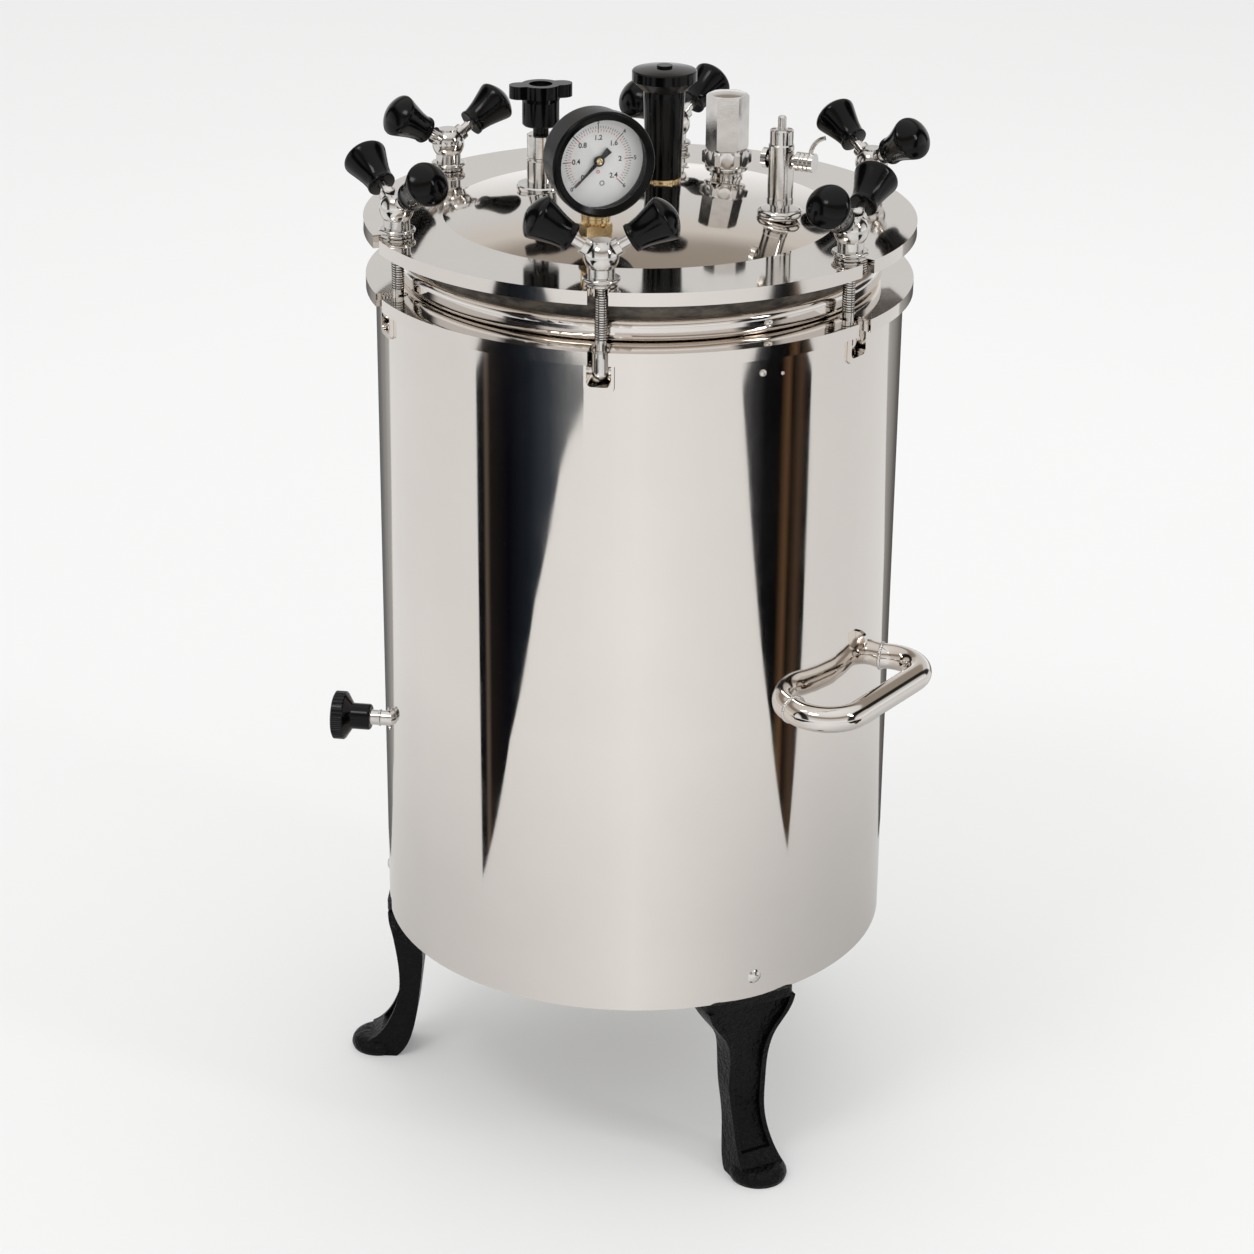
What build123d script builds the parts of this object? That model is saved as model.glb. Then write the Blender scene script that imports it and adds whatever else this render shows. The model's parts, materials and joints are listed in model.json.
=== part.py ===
from build123d import *
from math import cos, radians, sin, sqrt
import os

# Vertical double-walled autoclave, in millimetres. The model is made about the vessel's axis with the
# floor at height 0 and the front at -Y, then moved so that the middle of its box is over the origin.
# An angle round the vessel is 0 at the front and grows towards +X.

# Drum, the polished outer jacket
drum_radius = 201.6
drum_wall = 1.5
drum_height = 524.0
leg_height = 154.0
base_thickness = 3.0
seat_gap = 0.1

# Ring on top of the drum, and the lid over it
ring_overhang = 7.4
ring_thickness = 10.0
lid_overhang = 8.4
lid_thickness = 10.0
rim_height = 17.0
gasket_height = 18.0
dome_inset = 18.0
dome_rise = 12.0
dome_wall = 6.0
dome_step = 8.0

# Pressure chamber with its rolled rim, and the gasket under the lid
jacket_space = 33.6
chamber_wall = 2.5
chamber_floor_gap = 30.0
chamber_corner = 30.0
rim_width = 17.0
rim_corner = 6.0
gasket_inset = 0.5
gasket_width = 9.5

# Six swing bolts in open slots
clamp_count = 6
first_clamp_angle = -8.0
clamp_inset = 8.1
slot_width = 15.0
pivot_drop = 8.0
pivot_radius = 3.5
pivot_clearance = 0.05
eye_radius = 7.0
eye_top = 15.0
bolt_radius = 4.3
bolt_stand = 30.0
pocket_width = 22.0
pocket_height = 21.5
pocket_wall = 2.0
pocket_back = 13.0
pocket_front = 10.5
pocket_corner = 4.0
pocket_fit = 0.2
lid_clearance = 0.3

# Washer and wing nut
washer_radius = 12.0
washer_thickness = 2.2
washer_edge = 0.5
washer_fit = 0.3
nut_flange_radius = 13.8
nut_flange_height = 2.9
nut_groove_radius = 10.5
nut_groove_height = 1.0
nut_neck_radius = 9.75
nut_ball_radius = 12.8
nut_ball_height = 18.7
nut_cap_radius = 8.0
nut_cap_height = 1.6
nut_running_gap = 0.1
nut_bore_fit = 0.08
nut_bore_depth = 29.0
arm_radius = 4.0
arm_boss_radius = 6.6
arm_boss_reach = 15.5
arm_length = 52.0
arm_tilt = 32.0
arm_headings = (0.0, 64.0, -52.0, 46.0, 34.0, -55.0)

# Tapered black knob on each arm, placed along the arm from the middle of the nut's ball
knob_start = 24.0
knob_end = 62.0
knob_waist_radius = 9.8
knob_lip_radius = 10.6
knob_lip_length = 2.6
knob_hollow = 0.9
knob_radius = 16.2
knob_shoulder = 54.0
knob_fit = 0.05

# Legs
leg_angles = {"leg_front": 28.0, "leg_back": 148.0, "leg_left": -92.0}
leg_shape_height = 154.0
leg_outer_line = [(-2.6, 112.0), (-6.6, 74.0), (0.4, 36.0)]
leg_inner_line = [(-17.6, 24.0), (-23.6, 62.0), (-25.6, 104.0)]
leg_root = 37.6
leg_toe = 7.0
leg_heel = 17.0
leg_waist_height = 74.0
leg_flange_width = 77.0
leg_flange_thickness = 8.0
leg_flange_depth = 51.6
leg_flange_corner = 9.0
leg_shank_width = 33.0
leg_web = 9.0
leg_rib_inset = 4.5
foot_stand = 13.4
foot_radius = 23.0
foot_height = 12.0
foot_corner = 9.0
leg_screw_height = 18.0
leg_screw_radius = 6.0
leg_screw_head = 3.0
leg_tab_width = 30.0
leg_tab_height = 34.0
leg_tab_thickness = 5.0

# Bow handles of bent pipe, and the small lug over each
handle_angles = {"handle_right": 54.6, "handle_left": -136.0}
handle_height = 393.0
handle_pipe_radius = 10.0
handle_reach = 33.0
handle_bend = 28.0
handle_run = 80.0
lug_turn = 2.4
lug_rise = 28.0
lug_height = 15.0
lug_reach = 8.0
lug_corner = 6.5
lug_thickness = 4.0

# Drain valve on the left
drain_angle = -76.0
drain_level = 330.0
drain_hole_radius = 9.0
drain_pipe_radius = 6.0
drain_heading = -98.0
drain_reach = 14.0
drain_joint_radius = 6.6
drain_knob_radius = 19.2
drain_knob_thickness = 9.0
drain_knob_taper = 5.0
drain_knob_crown = 3.0
drain_knob_boss_radius = 10.4
drain_knob_boss_length = 15.0
drain_knob_flutes = 36
drain_flute_radius = 1.1
knob_spindle_radius = 3.0
knob_spindle_length = 12.0
spindle_gap = 2.0
spindle_clearance = 0.05
turning_gap = 0.3

# Pressure gauge
gauge_circle = 100.0
gauge_angle = -19.0
gauge_turn = 20.0
gauge_height = 65.5
gauge_case_radius = 36.5
gauge_case_depth = 30.0
gauge_wall = 2.0
bezel_rim = 2.5
bezel_cover = 3.9
bezel_depth = 10.0
dial_thickness = 1.0
glass_thickness = 2.0
needle_length = 26.0
needle_tail = 11.0
needle_thickness = 0.8
needle_hub_radius = 4.0
union_flats = 21.5
union_hex_height = 8.0
union_groove = 2.0
union_groove_radius = 8.0
union_sleeve_radius = 10.8
collar_height = 3.0
collar_sink = 3.0

# Tall safety valve with a black body
safety_circle = 56.5
safety_angle = 162.0
safety_flats = 24.0
safety_base_height = 6.0
safety_body_radius = 16.0
safety_foot_radius = 14.0
safety_foot_corner = 4.0
safety_cap_radius = 25.0
safety_cap_bottom = 81.0
safety_cap_chamfer = 7.0
safety_cap_side = 9.0
safety_cap_rise = 2.0
safety_boss_radius = 6.0
safety_boss_height = 1.5

# Hexagonal relief valve: neck, flange, nut and body, one on the other
relief_circle = 109.0
relief_angle = 142.0
relief_neck_radius = 12.0
relief_flange_radius = 17.0
relief_flange_bottom = 11.0
relief_flange_height = 4.0
relief_nut_flats = 30.0
relief_nut_height = 13.0
relief_flats = 29.0
relief_top = 72.5
relief_crown = 1.6

# Petcock
petcock_circle = 109.0
petcock_angle = 73.4
petcock_foot_radius = 17.0
petcock_foot_height = 7.0
petcock_neck_radius = 7.5
petcock_neck_height = 4.0
petcock_collar_radius = 10.0
petcock_collar_height = 5.0
petcock_barrel_radius = 9.6
petcock_shoulder = 62.0
petcock_cap_radius = 8.8
petcock_cap_height = 11.0
petcock_cap_slots = 6
petcock_cap_slot = 3.0
petcock_pin_radius = 3.1
petcock_pin_height = 10.0
lever_heading = -25.0
lever_height = 50.0
lever_radius = 3.0
lever_neck = 3.0
lever_shoulder_radius = 4.5
lever_spool_radius = 7.2
lever_spool_length = 14.0
lever_spool_grooves = 3
lever_groove_depth = 1.2
lever_head_radius = 7.6
lever_head_thickness = 4.0
lever_horn_radius = 1.7
lever_horn_bend = 15.0
lever_horn_turn = 75.0

# Vent valve with a two-lobed knob
vent_circle = 86.0
vent_angle = -117.0
vent_flange_radius = 19.0
vent_flange_height = 3.0
vent_pipe_radius = 10.8
vent_pipe_top = 50.0
vent_groove_depth = 1.2
vent_stem_radius = 6.0
vent_stem_length = 6.0
vent_boss_radius = 15.0
vent_boss_foot_radius = 11.0
vent_top = 88.5
vent_recess_depth = 2.5
vent_recess_radius = 9.0
vent_knob_width = 49.0
vent_knob_thickness = 10.0
vent_knob_heading = 15.0

# Radii and heights that follow from the sizes above
ring_radius = drum_radius + ring_overhang
lid_radius = drum_radius + lid_overhang
clamp_circle = drum_radius - clamp_inset
chamber_radius = drum_radius - jacket_space
rim_radius = chamber_radius + rim_width
gasket_inner_radius = chamber_radius + gasket_inset
gasket_outer_radius = gasket_inner_radius + gasket_width
dome_radius = chamber_radius - dome_inset
foot_centre = drum_radius + foot_stand
leg_flange_back = drum_radius - leg_flange_depth
jacket_inside = drum_radius - drum_wall
bezel_radius = gauge_case_radius + bezel_rim
drum_top = leg_height + drum_height
ring_top = drum_top + ring_thickness
rim_top = ring_top + rim_height
lid_bottom = rim_top + gasket_height
lid_top = lid_bottom + lid_thickness
pivot_height = drum_top - pivot_drop
washer_bottom = lid_top + lid_clearance
nut_bottom = washer_bottom + washer_thickness + nut_running_gap
dome_sphere = (dome_radius**2 + dome_rise**2) / (2 * dome_rise)
clamp_angles = [first_clamp_angle + i * 360 / clamp_count for i in range(clamp_count)]


def around(radius, angle, height):
    # A place on a circle round the vessel, with local +X pointing away from its axis.
    return Pos(0, 0, height) * Rot(0, 0, angle - 90) * Pos(radius, 0, 0)


def upright(circle, angle, height):
    # The same place with its axes still lined up with the vessel's.
    return Pos(circle * sin(radians(angle)), -circle * cos(radians(angle)), height)


def turned(*edges):
    # A solid of revolution about Z from edges drawn as (radius, height).
    return revolve(Plane.XZ * make_face(Curve() + list(edges)), Axis.Z)


def turned_points(*points):
    return turned(Polyline(*points, close=True))


def crown(radius, edge, top):
    # Section of a shallow dome from its edge to its middle on the axis.
    rise = top - edge
    sphere = (radius**2 + rise**2) / (2 * rise)
    halfway = top - sphere + sqrt(sphere**2 - radius**2 / 4)
    return ThreePointArc((radius, edge), (radius / 2, halfway), (0, top))


def hexagon(flats, height):
    # A hexagonal bar standing on height 0, with its top and bottom corners turned off.
    corner = flats / sqrt(3)
    bar = extrude(RegularPolygon(corner, 6), height)
    cut = (corner - flats / 2) * 0.6
    envelope = turned_points(
        (0, 0), (corner - cut, 0), (corner, cut), (corner, height - cut), (corner - cut, height), (0, height)
    )
    return bar & envelope


def column(radius, bottom, top):
    return Pos(0, 0, bottom) * extrude(Circle(radius), top - bottom)


def dome_level(radius):
    # Height of the lid's top above its flat flange at this distance from the axis.
    if radius >= dome_radius:
        return 0.0
    return dome_rise - dome_sphere + sqrt(dome_sphere**2 - radius**2)


def slot_cutter(bottom, top):
    # One slot, round at its inner end and open outwards.
    reach = lid_radius - clamp_circle + slot_width
    channel = Pos(reach / 2, 0, 0) * Rectangle(reach, slot_width)
    return Pos(0, 0, bottom - lid_top) * extrude(Circle(slot_width / 2) + channel, top - bottom)


def slots(bottom, top):
    return [around(clamp_circle, angle, lid_top) * slot_cutter(bottom, top) for angle in clamp_angles]


def drain_place():
    # The drain's axis lies level, and runs out through the jacket at its own heading, not to the radius.
    mouth = upright(drum_radius, drain_angle, drain_level)
    return mouth * Rot(0, 0, drain_heading - 90) * Rot(0, 90, 0)


def pocket_outline(grow):
    # Front view of a pocket below the ring, with its two lower corners rounded.
    width, height = pocket_width + 2 * grow, pocket_height + grow
    plain = Rectangle(width, height)
    return Pos(0, -height / 2) * fillet(plain.vertices().group_by(Axis.Y)[0], pocket_corner)


def outer_jacket():
    jacket = column(drum_radius, leg_height, drum_top) - column(jacket_inside, leg_height, drum_top)
    reach = 2 * (pocket_back + pocket_front)
    notch = extrude(Plane.YZ * pocket_outline(pocket_fit), reach / 2, both=True)
    jacket -= [around(drum_radius, angle, drum_top) * notch for angle in clamp_angles]
    drain = drain_place() * Cylinder(drain_hole_radius, 2 * drain_reach)
    return jacket - drain


def base_plate():
    radius = jacket_inside - seat_gap
    return column(radius, leg_height, leg_height + base_thickness)


def support_ring():
    bore = chamber_radius + seat_gap
    ring = column(ring_radius, drum_top, ring_top) - column(bore, drum_top, ring_top)
    return ring - slots(drum_top, ring_top)


def hinge_pocket():
    # A folded sheet pocket under the ring, open at its front and top, with the pin's two holes.
    outline = Plane.YZ * pocket_outline(0)
    block = Pos(-pocket_back, 0, 0) * extrude(outline, pocket_back + pocket_front)
    inner = Plane.YZ * (Pos(0, pocket_wall) * pocket_outline(-pocket_wall))
    room = Pos(pocket_wall - pocket_back, 0, 0) * extrude(inner, pocket_back + pocket_front)
    pin_hole = Rot(90, 0, 0) * Cylinder(pivot_radius + pivot_clearance, 2 * pocket_width)
    return block - room - Pos(0, 0, -pivot_drop) * pin_hole


def pivot_pin():
    return Pos(0, 0, -pivot_drop) * Rot(90, 0, 0) * Cylinder(pivot_radius, pocket_width)


def pressure_chamber():
    # A drawn vessel with a rounded bottom corner, closed below and open to the lid.
    floor = leg_height + base_thickness + chamber_floor_gap
    inner = chamber_radius - chamber_wall
    bend = chamber_corner - chamber_wall
    flat = chamber_radius - chamber_corner
    shoulder = floor + chamber_corner
    return turned(
        Line((0, floor), (flat, floor)),
        RadiusArc((flat, floor), (chamber_radius, shoulder), -chamber_corner),
        Polyline((chamber_radius, shoulder), (chamber_radius, rim_top), (inner, rim_top), (inner, shoulder)),
        RadiusArc((inner, shoulder), (flat, floor + chamber_wall), bend),
        Polyline((flat, floor + chamber_wall), (0, floor + chamber_wall), (0, floor)),
    )


def chamber_rim():
    inner = chamber_radius + seat_gap
    section = Pos((inner + rim_radius) / 2, (ring_top + rim_top) / 2) * RectangleRounded(
        rim_radius - inner, rim_height, rim_corner
    )
    foot = Pos((inner + rim_radius) / 2 - rim_corner / 2, ring_top + rim_corner / 2) * Rectangle(
        rim_radius - inner - rim_corner, rim_corner
    )
    return revolve(Plane.XZ * (section + foot), Axis.Z)


def lid_gasket():
    return column(gasket_outer_radius, rim_top, lid_bottom) - column(gasket_inner_radius, rim_top, lid_bottom)


def lid():
    # Flat slotted flange round a shallow pressed dome, hollow underneath.
    inner_sphere = dome_sphere - dome_wall
    centre = lid_top + dome_rise - dome_sphere
    step = dome_radius - dome_step
    under = centre + sqrt(inner_sphere**2 - step**2)
    under_middle = centre + sqrt(inner_sphere**2 - step**2 / 4)
    plate = turned(
        Line((step, lid_bottom), (lid_radius, lid_bottom)),
        Line((lid_radius, lid_bottom), (lid_radius, lid_top)),
        Line((lid_radius, lid_top), (dome_radius, lid_top)),
        crown(dome_radius, lid_top, lid_top + dome_rise),
        Line((0, lid_top + dome_rise), (0, lid_top + dome_rise - dome_wall)),
        ThreePointArc((0, lid_top + dome_rise - dome_wall), (step / 2, under_middle), (step, under)),
        Line((step, under), (step, lid_bottom)),
    )
    return plate - slots(lid_bottom, lid_top)


def leg_side():
    # Side view of the leg as (distance from the vessel's axis, height): an S that ends over the foot.
    top = leg_height - leg_flange_thickness
    drop = leg_height - leg_shape_height
    out = [(drum_radius + x, y + drop) for x, y in leg_outer_line]
    back = [(drum_radius + x, y + drop) for x, y in leg_inner_line]
    toe = foot_centre + leg_toe
    heel = foot_centre - leg_heel
    edges = [
        Spline((drum_radius - 1, top), *out, (toe, foot_height), tangents=[(0, -1), (1, -0.45)]),
        Polyline((toe, foot_height), (toe, 0), (heel, 0)),
        Spline((heel, 0), *back, (drum_radius - leg_root, top), tangents=[(-1, 0.7), (-1, 0.6)]),
        Line((drum_radius - leg_root, top), (drum_radius - 1, top)),
    ]
    return make_face(Curve() + edges)


def leg_front_view(inset):
    # Front view as (sideways, height): wide under the drum, drawn in to the shank, wider at the foot.
    top = leg_height - leg_flange_thickness
    half_top = leg_flange_width / 2 - inset
    half_shank = leg_shank_width / 2 - inset
    half_foot = foot_radius - 2 - inset
    right = Spline(
        (half_top, top), (half_shank + 5, (top + leg_waist_height) / 2 + 6),
        (half_shank, leg_waist_height), (half_foot, inset),
        tangents=[(-0.2, -1), (0.25, -1)],
    )
    left = mirror(right, Plane.YZ)
    edges = [
        right,
        left,
        Line((-half_top, top), (half_top, top)),
        Line((-half_foot, inset), (half_foot, inset)),
    ]
    return make_face(Curve() + edges)


def leg():
    # A cast leg: flange, S-shaped shank hollowed on its outer face between two ribs, and a round foot.
    span = 2 * leg_flange_width
    side = extrude(Plane.XZ * leg_side(), span / 2, both=True)
    front = Plane.YZ * leg_front_view(0)
    shank = side & Pos(foot_centre, 0, 0) * extrude(front, span / 2, both=True)
    hollow = Pos(foot_centre, 0, 0) * extrude(Plane.YZ * leg_front_view(leg_rib_inset), span / 2, both=True)
    hollow -= Pos(-leg_rib_inset, 0, 0) * side
    hollow &= Pos(drum_radius - leg_web + span / 2, 0, leg_height / 2 + foot_height) * Box(
        span, span, leg_height - 2 * leg_flange_thickness
    )
    flange_depth = drum_radius - leg_flange_back
    flange = Pos(leg_flange_back + flange_depth / 2, 0, leg_height - leg_flange_thickness) * extrude(
        RectangleRounded(flange_depth, leg_flange_width, leg_flange_corner), leg_flange_thickness
    )
    foot_edge = foot_height - foot_corner
    foot_top = foot_radius - foot_corner
    foot = turned(
        Polyline((foot_top, foot_height), (0, foot_height), (0, 0), (foot_radius - 1, 0)),
        Line((foot_radius - 1, 0), (foot_radius, foot_edge)),
        RadiusArc((foot_radius, foot_edge), (foot_top, foot_height), -foot_corner),
    )
    return shank - hollow + flange + Pos(foot_centre, 0, 0) * foot


def leg_bracket():
    # Upright tab of the leg inside the drum, which the leg's screw holds, with the screw's clear hole.
    tab_radius = jacket_inside - seat_gap
    tab = column(tab_radius, 0, leg_tab_height) - column(tab_radius - leg_tab_thickness, 0, leg_tab_height)
    tab &= Pos(tab_radius, 0, leg_tab_height / 2) * Box(2 * leg_tab_width, leg_tab_width, leg_tab_height)
    return Pos(0, 0, leg_height + base_thickness) * tab


def leg_screw():
    # A cup washer with a domed screw head, seated on the jacket's outside.
    washer = turned(
        Line((0, 0), (leg_screw_radius, 0)),
        Line((leg_screw_radius, 0), (leg_screw_radius - 1.5, leg_screw_head / 2)),
        crown(leg_screw_radius - 1.5, leg_screw_head / 2, leg_screw_head),
        Line((0, leg_screw_head), (0, 0)),
    )
    flat = Pos(drum_radius - 0.15, 0, leg_height + leg_screw_height) * Rot(0, 90, 0) * washer
    return flat - column(drum_radius, leg_height, drum_top)


def handle():
    # A pipe bent into a bow, its two ends welded to the jacket.
    half_run = handle_run / 2
    front_run = Pos(handle_bend, 0, 0) * Rot(90, 0, 0) * Cylinder(handle_pipe_radius, handle_run)
    section = Plane.XZ * (Pos(handle_bend, 0) * Circle(handle_pipe_radius))
    bend = revolve(section, Axis.Z, 180)
    bow = front_run + Pos(0, half_run, 0) * bend + Pos(0, -half_run, 0) * Rot(0, 0, 180) * bend
    placed = Pos(drum_radius + handle_reach - handle_bend, 0, handle_height) * bow
    return placed - column(drum_radius, leg_height, drum_top)


def handle_lug():
    # Small round-topped ear welded to the jacket over the handle.
    ear = Pos(0, 0, lug_height / 2) * Box(2 * lug_reach, lug_thickness, lug_height)
    ear = fillet(ear.edges().filter_by(Axis.Y).group_by(Axis.X)[-1], lug_corner)
    placed = Rot(0, 0, lug_turn) * Pos(drum_radius, 0, handle_height + lug_rise) * ear
    return placed - column(drum_radius, leg_height, drum_top)


def drain_stub():
    # The pipe from the chamber out through the jacket, with a joint ring and the spindle's hole.
    joint = drain_reach / 2
    stub = turned_points(
        (0, -jacket_space), (drain_pipe_radius, -jacket_space), (drain_pipe_radius, joint - 1),
        (drain_joint_radius, joint - 0.5), (drain_joint_radius, joint + 0.5),
        (drain_pipe_radius, joint + 1), (drain_pipe_radius, drain_reach), (0, drain_reach),
    )
    stub -= column(knob_spindle_radius + spindle_clearance, drain_reach - knob_spindle_length, drain_reach)
    return drain_place() * stub - column(chamber_radius + seat_gap, leg_height, ring_top)


def drain_knob():
    # A round hand knob with a fluted rim, tapered to a rounded boss, its spindle running in the stub.
    boss = drain_knob_boss_radius
    start = drain_reach + turning_gap
    taper = start + drain_knob_boss_length
    rim = taper + drain_knob_taper
    top = rim + drain_knob_thickness
    knob = turned(
        Line((0, start), (boss - 2, start)),
        RadiusArc((boss - 2, start), (boss, start + 2), -2),
        Polyline((boss, start + 2), (boss, taper), (drain_knob_radius - 1, rim), (drain_knob_radius, rim + 1),
                 (drain_knob_radius, top), (drain_knob_radius - 2, top + 1)),
        crown(drain_knob_radius - 2, top + 1, top + drain_knob_crown),
        Line((0, top + drain_knob_crown), (0, start)),
    )
    flute = Pos(drain_knob_radius + drain_flute_radius / 2, 0, 0) * column(drain_flute_radius, rim, top + 1)
    knob -= [Rot(0, 0, i * 360 / drain_knob_flutes) * flute for i in range(drain_knob_flutes)]
    knob += column(knob_spindle_radius, start - knob_spindle_length + spindle_gap, start)
    return drain_place() * knob


def lid_collar(circle, angle, radius, height):
    # A round weld collar that follows the dome under a fitting.
    level = lid_top + dome_level(circle)
    return upright(circle, angle, 0) * column(radius, level - collar_sink, level + height)


def gauge_place():
    return upright(gauge_circle, gauge_angle, lid_top + gauge_height) * Rot(0, 0, gauge_turn) * Rot(90, 0, 0)


def gauge_union():
    # Brass union: collar and hexagon on the dome, a groove, and a sleeve up to the gauge's case.
    level = lid_top + dome_level(gauge_circle)
    hex_top = level + collar_height + union_hex_height
    place = upright(gauge_circle, gauge_angle, 0)
    union = place * Pos(0, 0, level + collar_height) * hexagon(union_flats, union_hex_height)
    union += place * column(union_groove_radius, level + collar_height, hex_top + union_groove)
    union += place * column(union_sleeve_radius, hex_top + union_groove, lid_top + gauge_height)
    union += lid_collar(gauge_circle, gauge_angle, union_sleeve_radius + 1, collar_height)
    body = column(gauge_case_radius, -gauge_case_depth, gauge_case_depth)
    body += column(bezel_radius + seat_gap, (gauge_case_depth - bezel_depth) / 2 - seat_gap, gauge_case_depth)
    return union - gauge_place() * body


def gauge_case():
    # A round cup, open to the front under the bezel.
    half = gauge_case_depth / 2
    case = turned(
        Line((0, -half), (gauge_case_radius - 4, -half)),
        RadiusArc((gauge_case_radius - 4, -half), (gauge_case_radius, 4 - half), -4),
        Line((gauge_case_radius, 4 - half), (gauge_case_radius, half)),
        Polyline(
            (gauge_case_radius, half), (gauge_case_radius - gauge_wall, half),
            (gauge_case_radius - gauge_wall, gauge_wall - half), (0, gauge_wall - half), (0, -half),
        ),
    )
    return gauge_place() * case


def gauge_bezel():
    # The rim in front of the case, which keeps the glass.
    half = gauge_case_depth / 2
    back = half - bezel_depth / 2
    front = half + bezel_depth / 2
    inner = gauge_case_radius - bezel_cover
    fit = gauge_case_radius + seat_gap
    bezel = turned(
        Line((fit, back), (bezel_radius, back)),
        Line((bezel_radius, back), (bezel_radius, front - 2.5)),
        RadiusArc((bezel_radius, front - 2.5), (bezel_radius - 2.5, front), -2.5),
        Polyline(
            (bezel_radius - 2.5, front), (inner, front - 2), (inner, half), (fit, half), (fit, back),
        ),
    )
    return gauge_place() * bezel


def gauge_dial():
    face = gauge_case_depth / 2 - bezel_depth
    return gauge_place() * column(gauge_case_radius - gauge_wall - seat_gap, face - dial_thickness, face)


def gauge_glass():
    front = gauge_case_depth / 2
    return gauge_place() * column(gauge_case_radius - gauge_wall - seat_gap, front - glass_thickness, front)


def gauge_needle():
    # Pointer with a short wide tail on a round hub, made pointing at the scale's lowest number.
    face = gauge_case_depth / 2 - bezel_depth
    pointer = make_face(
        Polyline((0, 1.5), (-needle_length, 0.35), (-needle_length, -0.35), (0, -1.5), close=True)
    )
    tail = make_face(Polyline((0, -1.2), (needle_tail, -2.6), (needle_tail, 2.6), (0, 1.2), close=True))
    hub = Circle(needle_hub_radius)
    needle = Pos(0, 0, face + 2) * extrude(pointer + tail + hub, needle_thickness)
    needle += column(needle_hub_radius / 2, face + turning_gap, face + 2 + needle_thickness + 1)
    return gauge_place() * Rot(0, 0, 45) * needle


def safety_valve_base():
    level = lid_top + dome_level(safety_circle)
    bar = Pos(0, 0, level) * hexagon(safety_flats, collar_height + safety_base_height)
    base = upright(safety_circle, safety_angle, 0) * bar
    return base + lid_collar(safety_circle, safety_angle, safety_flats * 0.55, collar_height / 2)


def safety_valve_body():
    # Black spring housing, rounded at its foot and a little wider towards the cap.
    bottom = dome_level(safety_circle) + collar_height + safety_base_height
    corner = safety_foot_corner
    body = turned(
        Line((0, bottom), (safety_foot_radius - corner, bottom)),
        RadiusArc((safety_foot_radius - corner, bottom), (safety_foot_radius, bottom + corner), -corner),
        Polyline((safety_foot_radius, bottom + corner), (safety_body_radius, safety_cap_bottom - corner),
                 (safety_body_radius, safety_cap_bottom), (0, safety_cap_bottom), (0, bottom)),
    )
    return upright(safety_circle, safety_angle, lid_top) * body


def safety_valve_cap():
    # Wide shallow cap, chamfered below and gently domed on top, with a low boss in its middle.
    side = safety_cap_chamfer + safety_cap_side
    top = side + safety_cap_rise
    edge = safety_cap_radius - 1
    cap = turned(
        Polyline((0, 0), (safety_body_radius + 0.5, 0), (edge, safety_cap_chamfer),
                 (safety_cap_radius, safety_cap_chamfer + 1), (safety_cap_radius, side - 1), (edge, side)),
        crown(edge, side, top),
        Line((0, top), (0, 0)),
    )
    cap += column(safety_boss_radius, side, top + safety_boss_height)
    return upright(safety_circle, safety_angle, lid_top + safety_cap_bottom) * cap


def relief_valve_nipple():
    # Turned neck and round flange on the dome.
    level = dome_level(relief_circle)
    flange_top = relief_flange_bottom + relief_flange_height
    edge = relief_flange_radius - 1
    neck = turned_points(
        (0, level), (relief_neck_radius, level), (relief_neck_radius, relief_flange_bottom),
        (edge, relief_flange_bottom), (relief_flange_radius, relief_flange_bottom + 1),
        (relief_flange_radius, flange_top - 1), (edge, flange_top), (0, flange_top),
    )
    stack = upright(relief_circle, relief_angle, lid_top) * neck
    return stack + lid_collar(relief_circle, relief_angle, relief_neck_radius + 1, 1)


def relief_valve_body():
    # Hexagonal nut under a tall hexagonal body with a shallow domed top.
    nut_bottom_level = relief_flange_bottom + relief_flange_height
    body_bottom = nut_bottom_level + relief_nut_height
    edge_top = relief_top - relief_crown
    valve = Pos(0, 0, nut_bottom_level) * hexagon(relief_nut_flats, relief_nut_height)
    valve += Pos(0, 0, body_bottom) * hexagon(relief_flats, edge_top - body_bottom)
    face = relief_flats * 0.48
    valve += turned(
        Line((0, body_bottom), (face, body_bottom)),
        Line((face, body_bottom), (face, edge_top)),
        crown(face, edge_top, relief_top),
        Line((0, relief_top), (0, body_bottom)),
    )
    return upright(relief_circle, relief_angle, lid_top) * valve


def petcock_foot():
    # Thick round foot with a rounded rim on the dome.
    level = dome_level(petcock_circle)
    top = level + petcock_foot_height
    round_rim = petcock_foot_height * 0.48
    flat = petcock_foot_radius - round_rim
    foot = turned(
        Line((0, level), (flat, level)),
        RadiusArc((flat, level), (petcock_foot_radius, level + round_rim), -round_rim),
        Line((petcock_foot_radius, level + round_rim), (petcock_foot_radius, top - round_rim)),
        RadiusArc((petcock_foot_radius, top - round_rim), (flat, top), -round_rim),
        Line((flat, top), (0, top)),
        Line((0, top), (0, level)),
    )
    raised = upright(petcock_circle, petcock_angle, lid_top) * foot
    return raised + lid_collar(petcock_circle, petcock_angle, flat - round_rim, 1)


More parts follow.
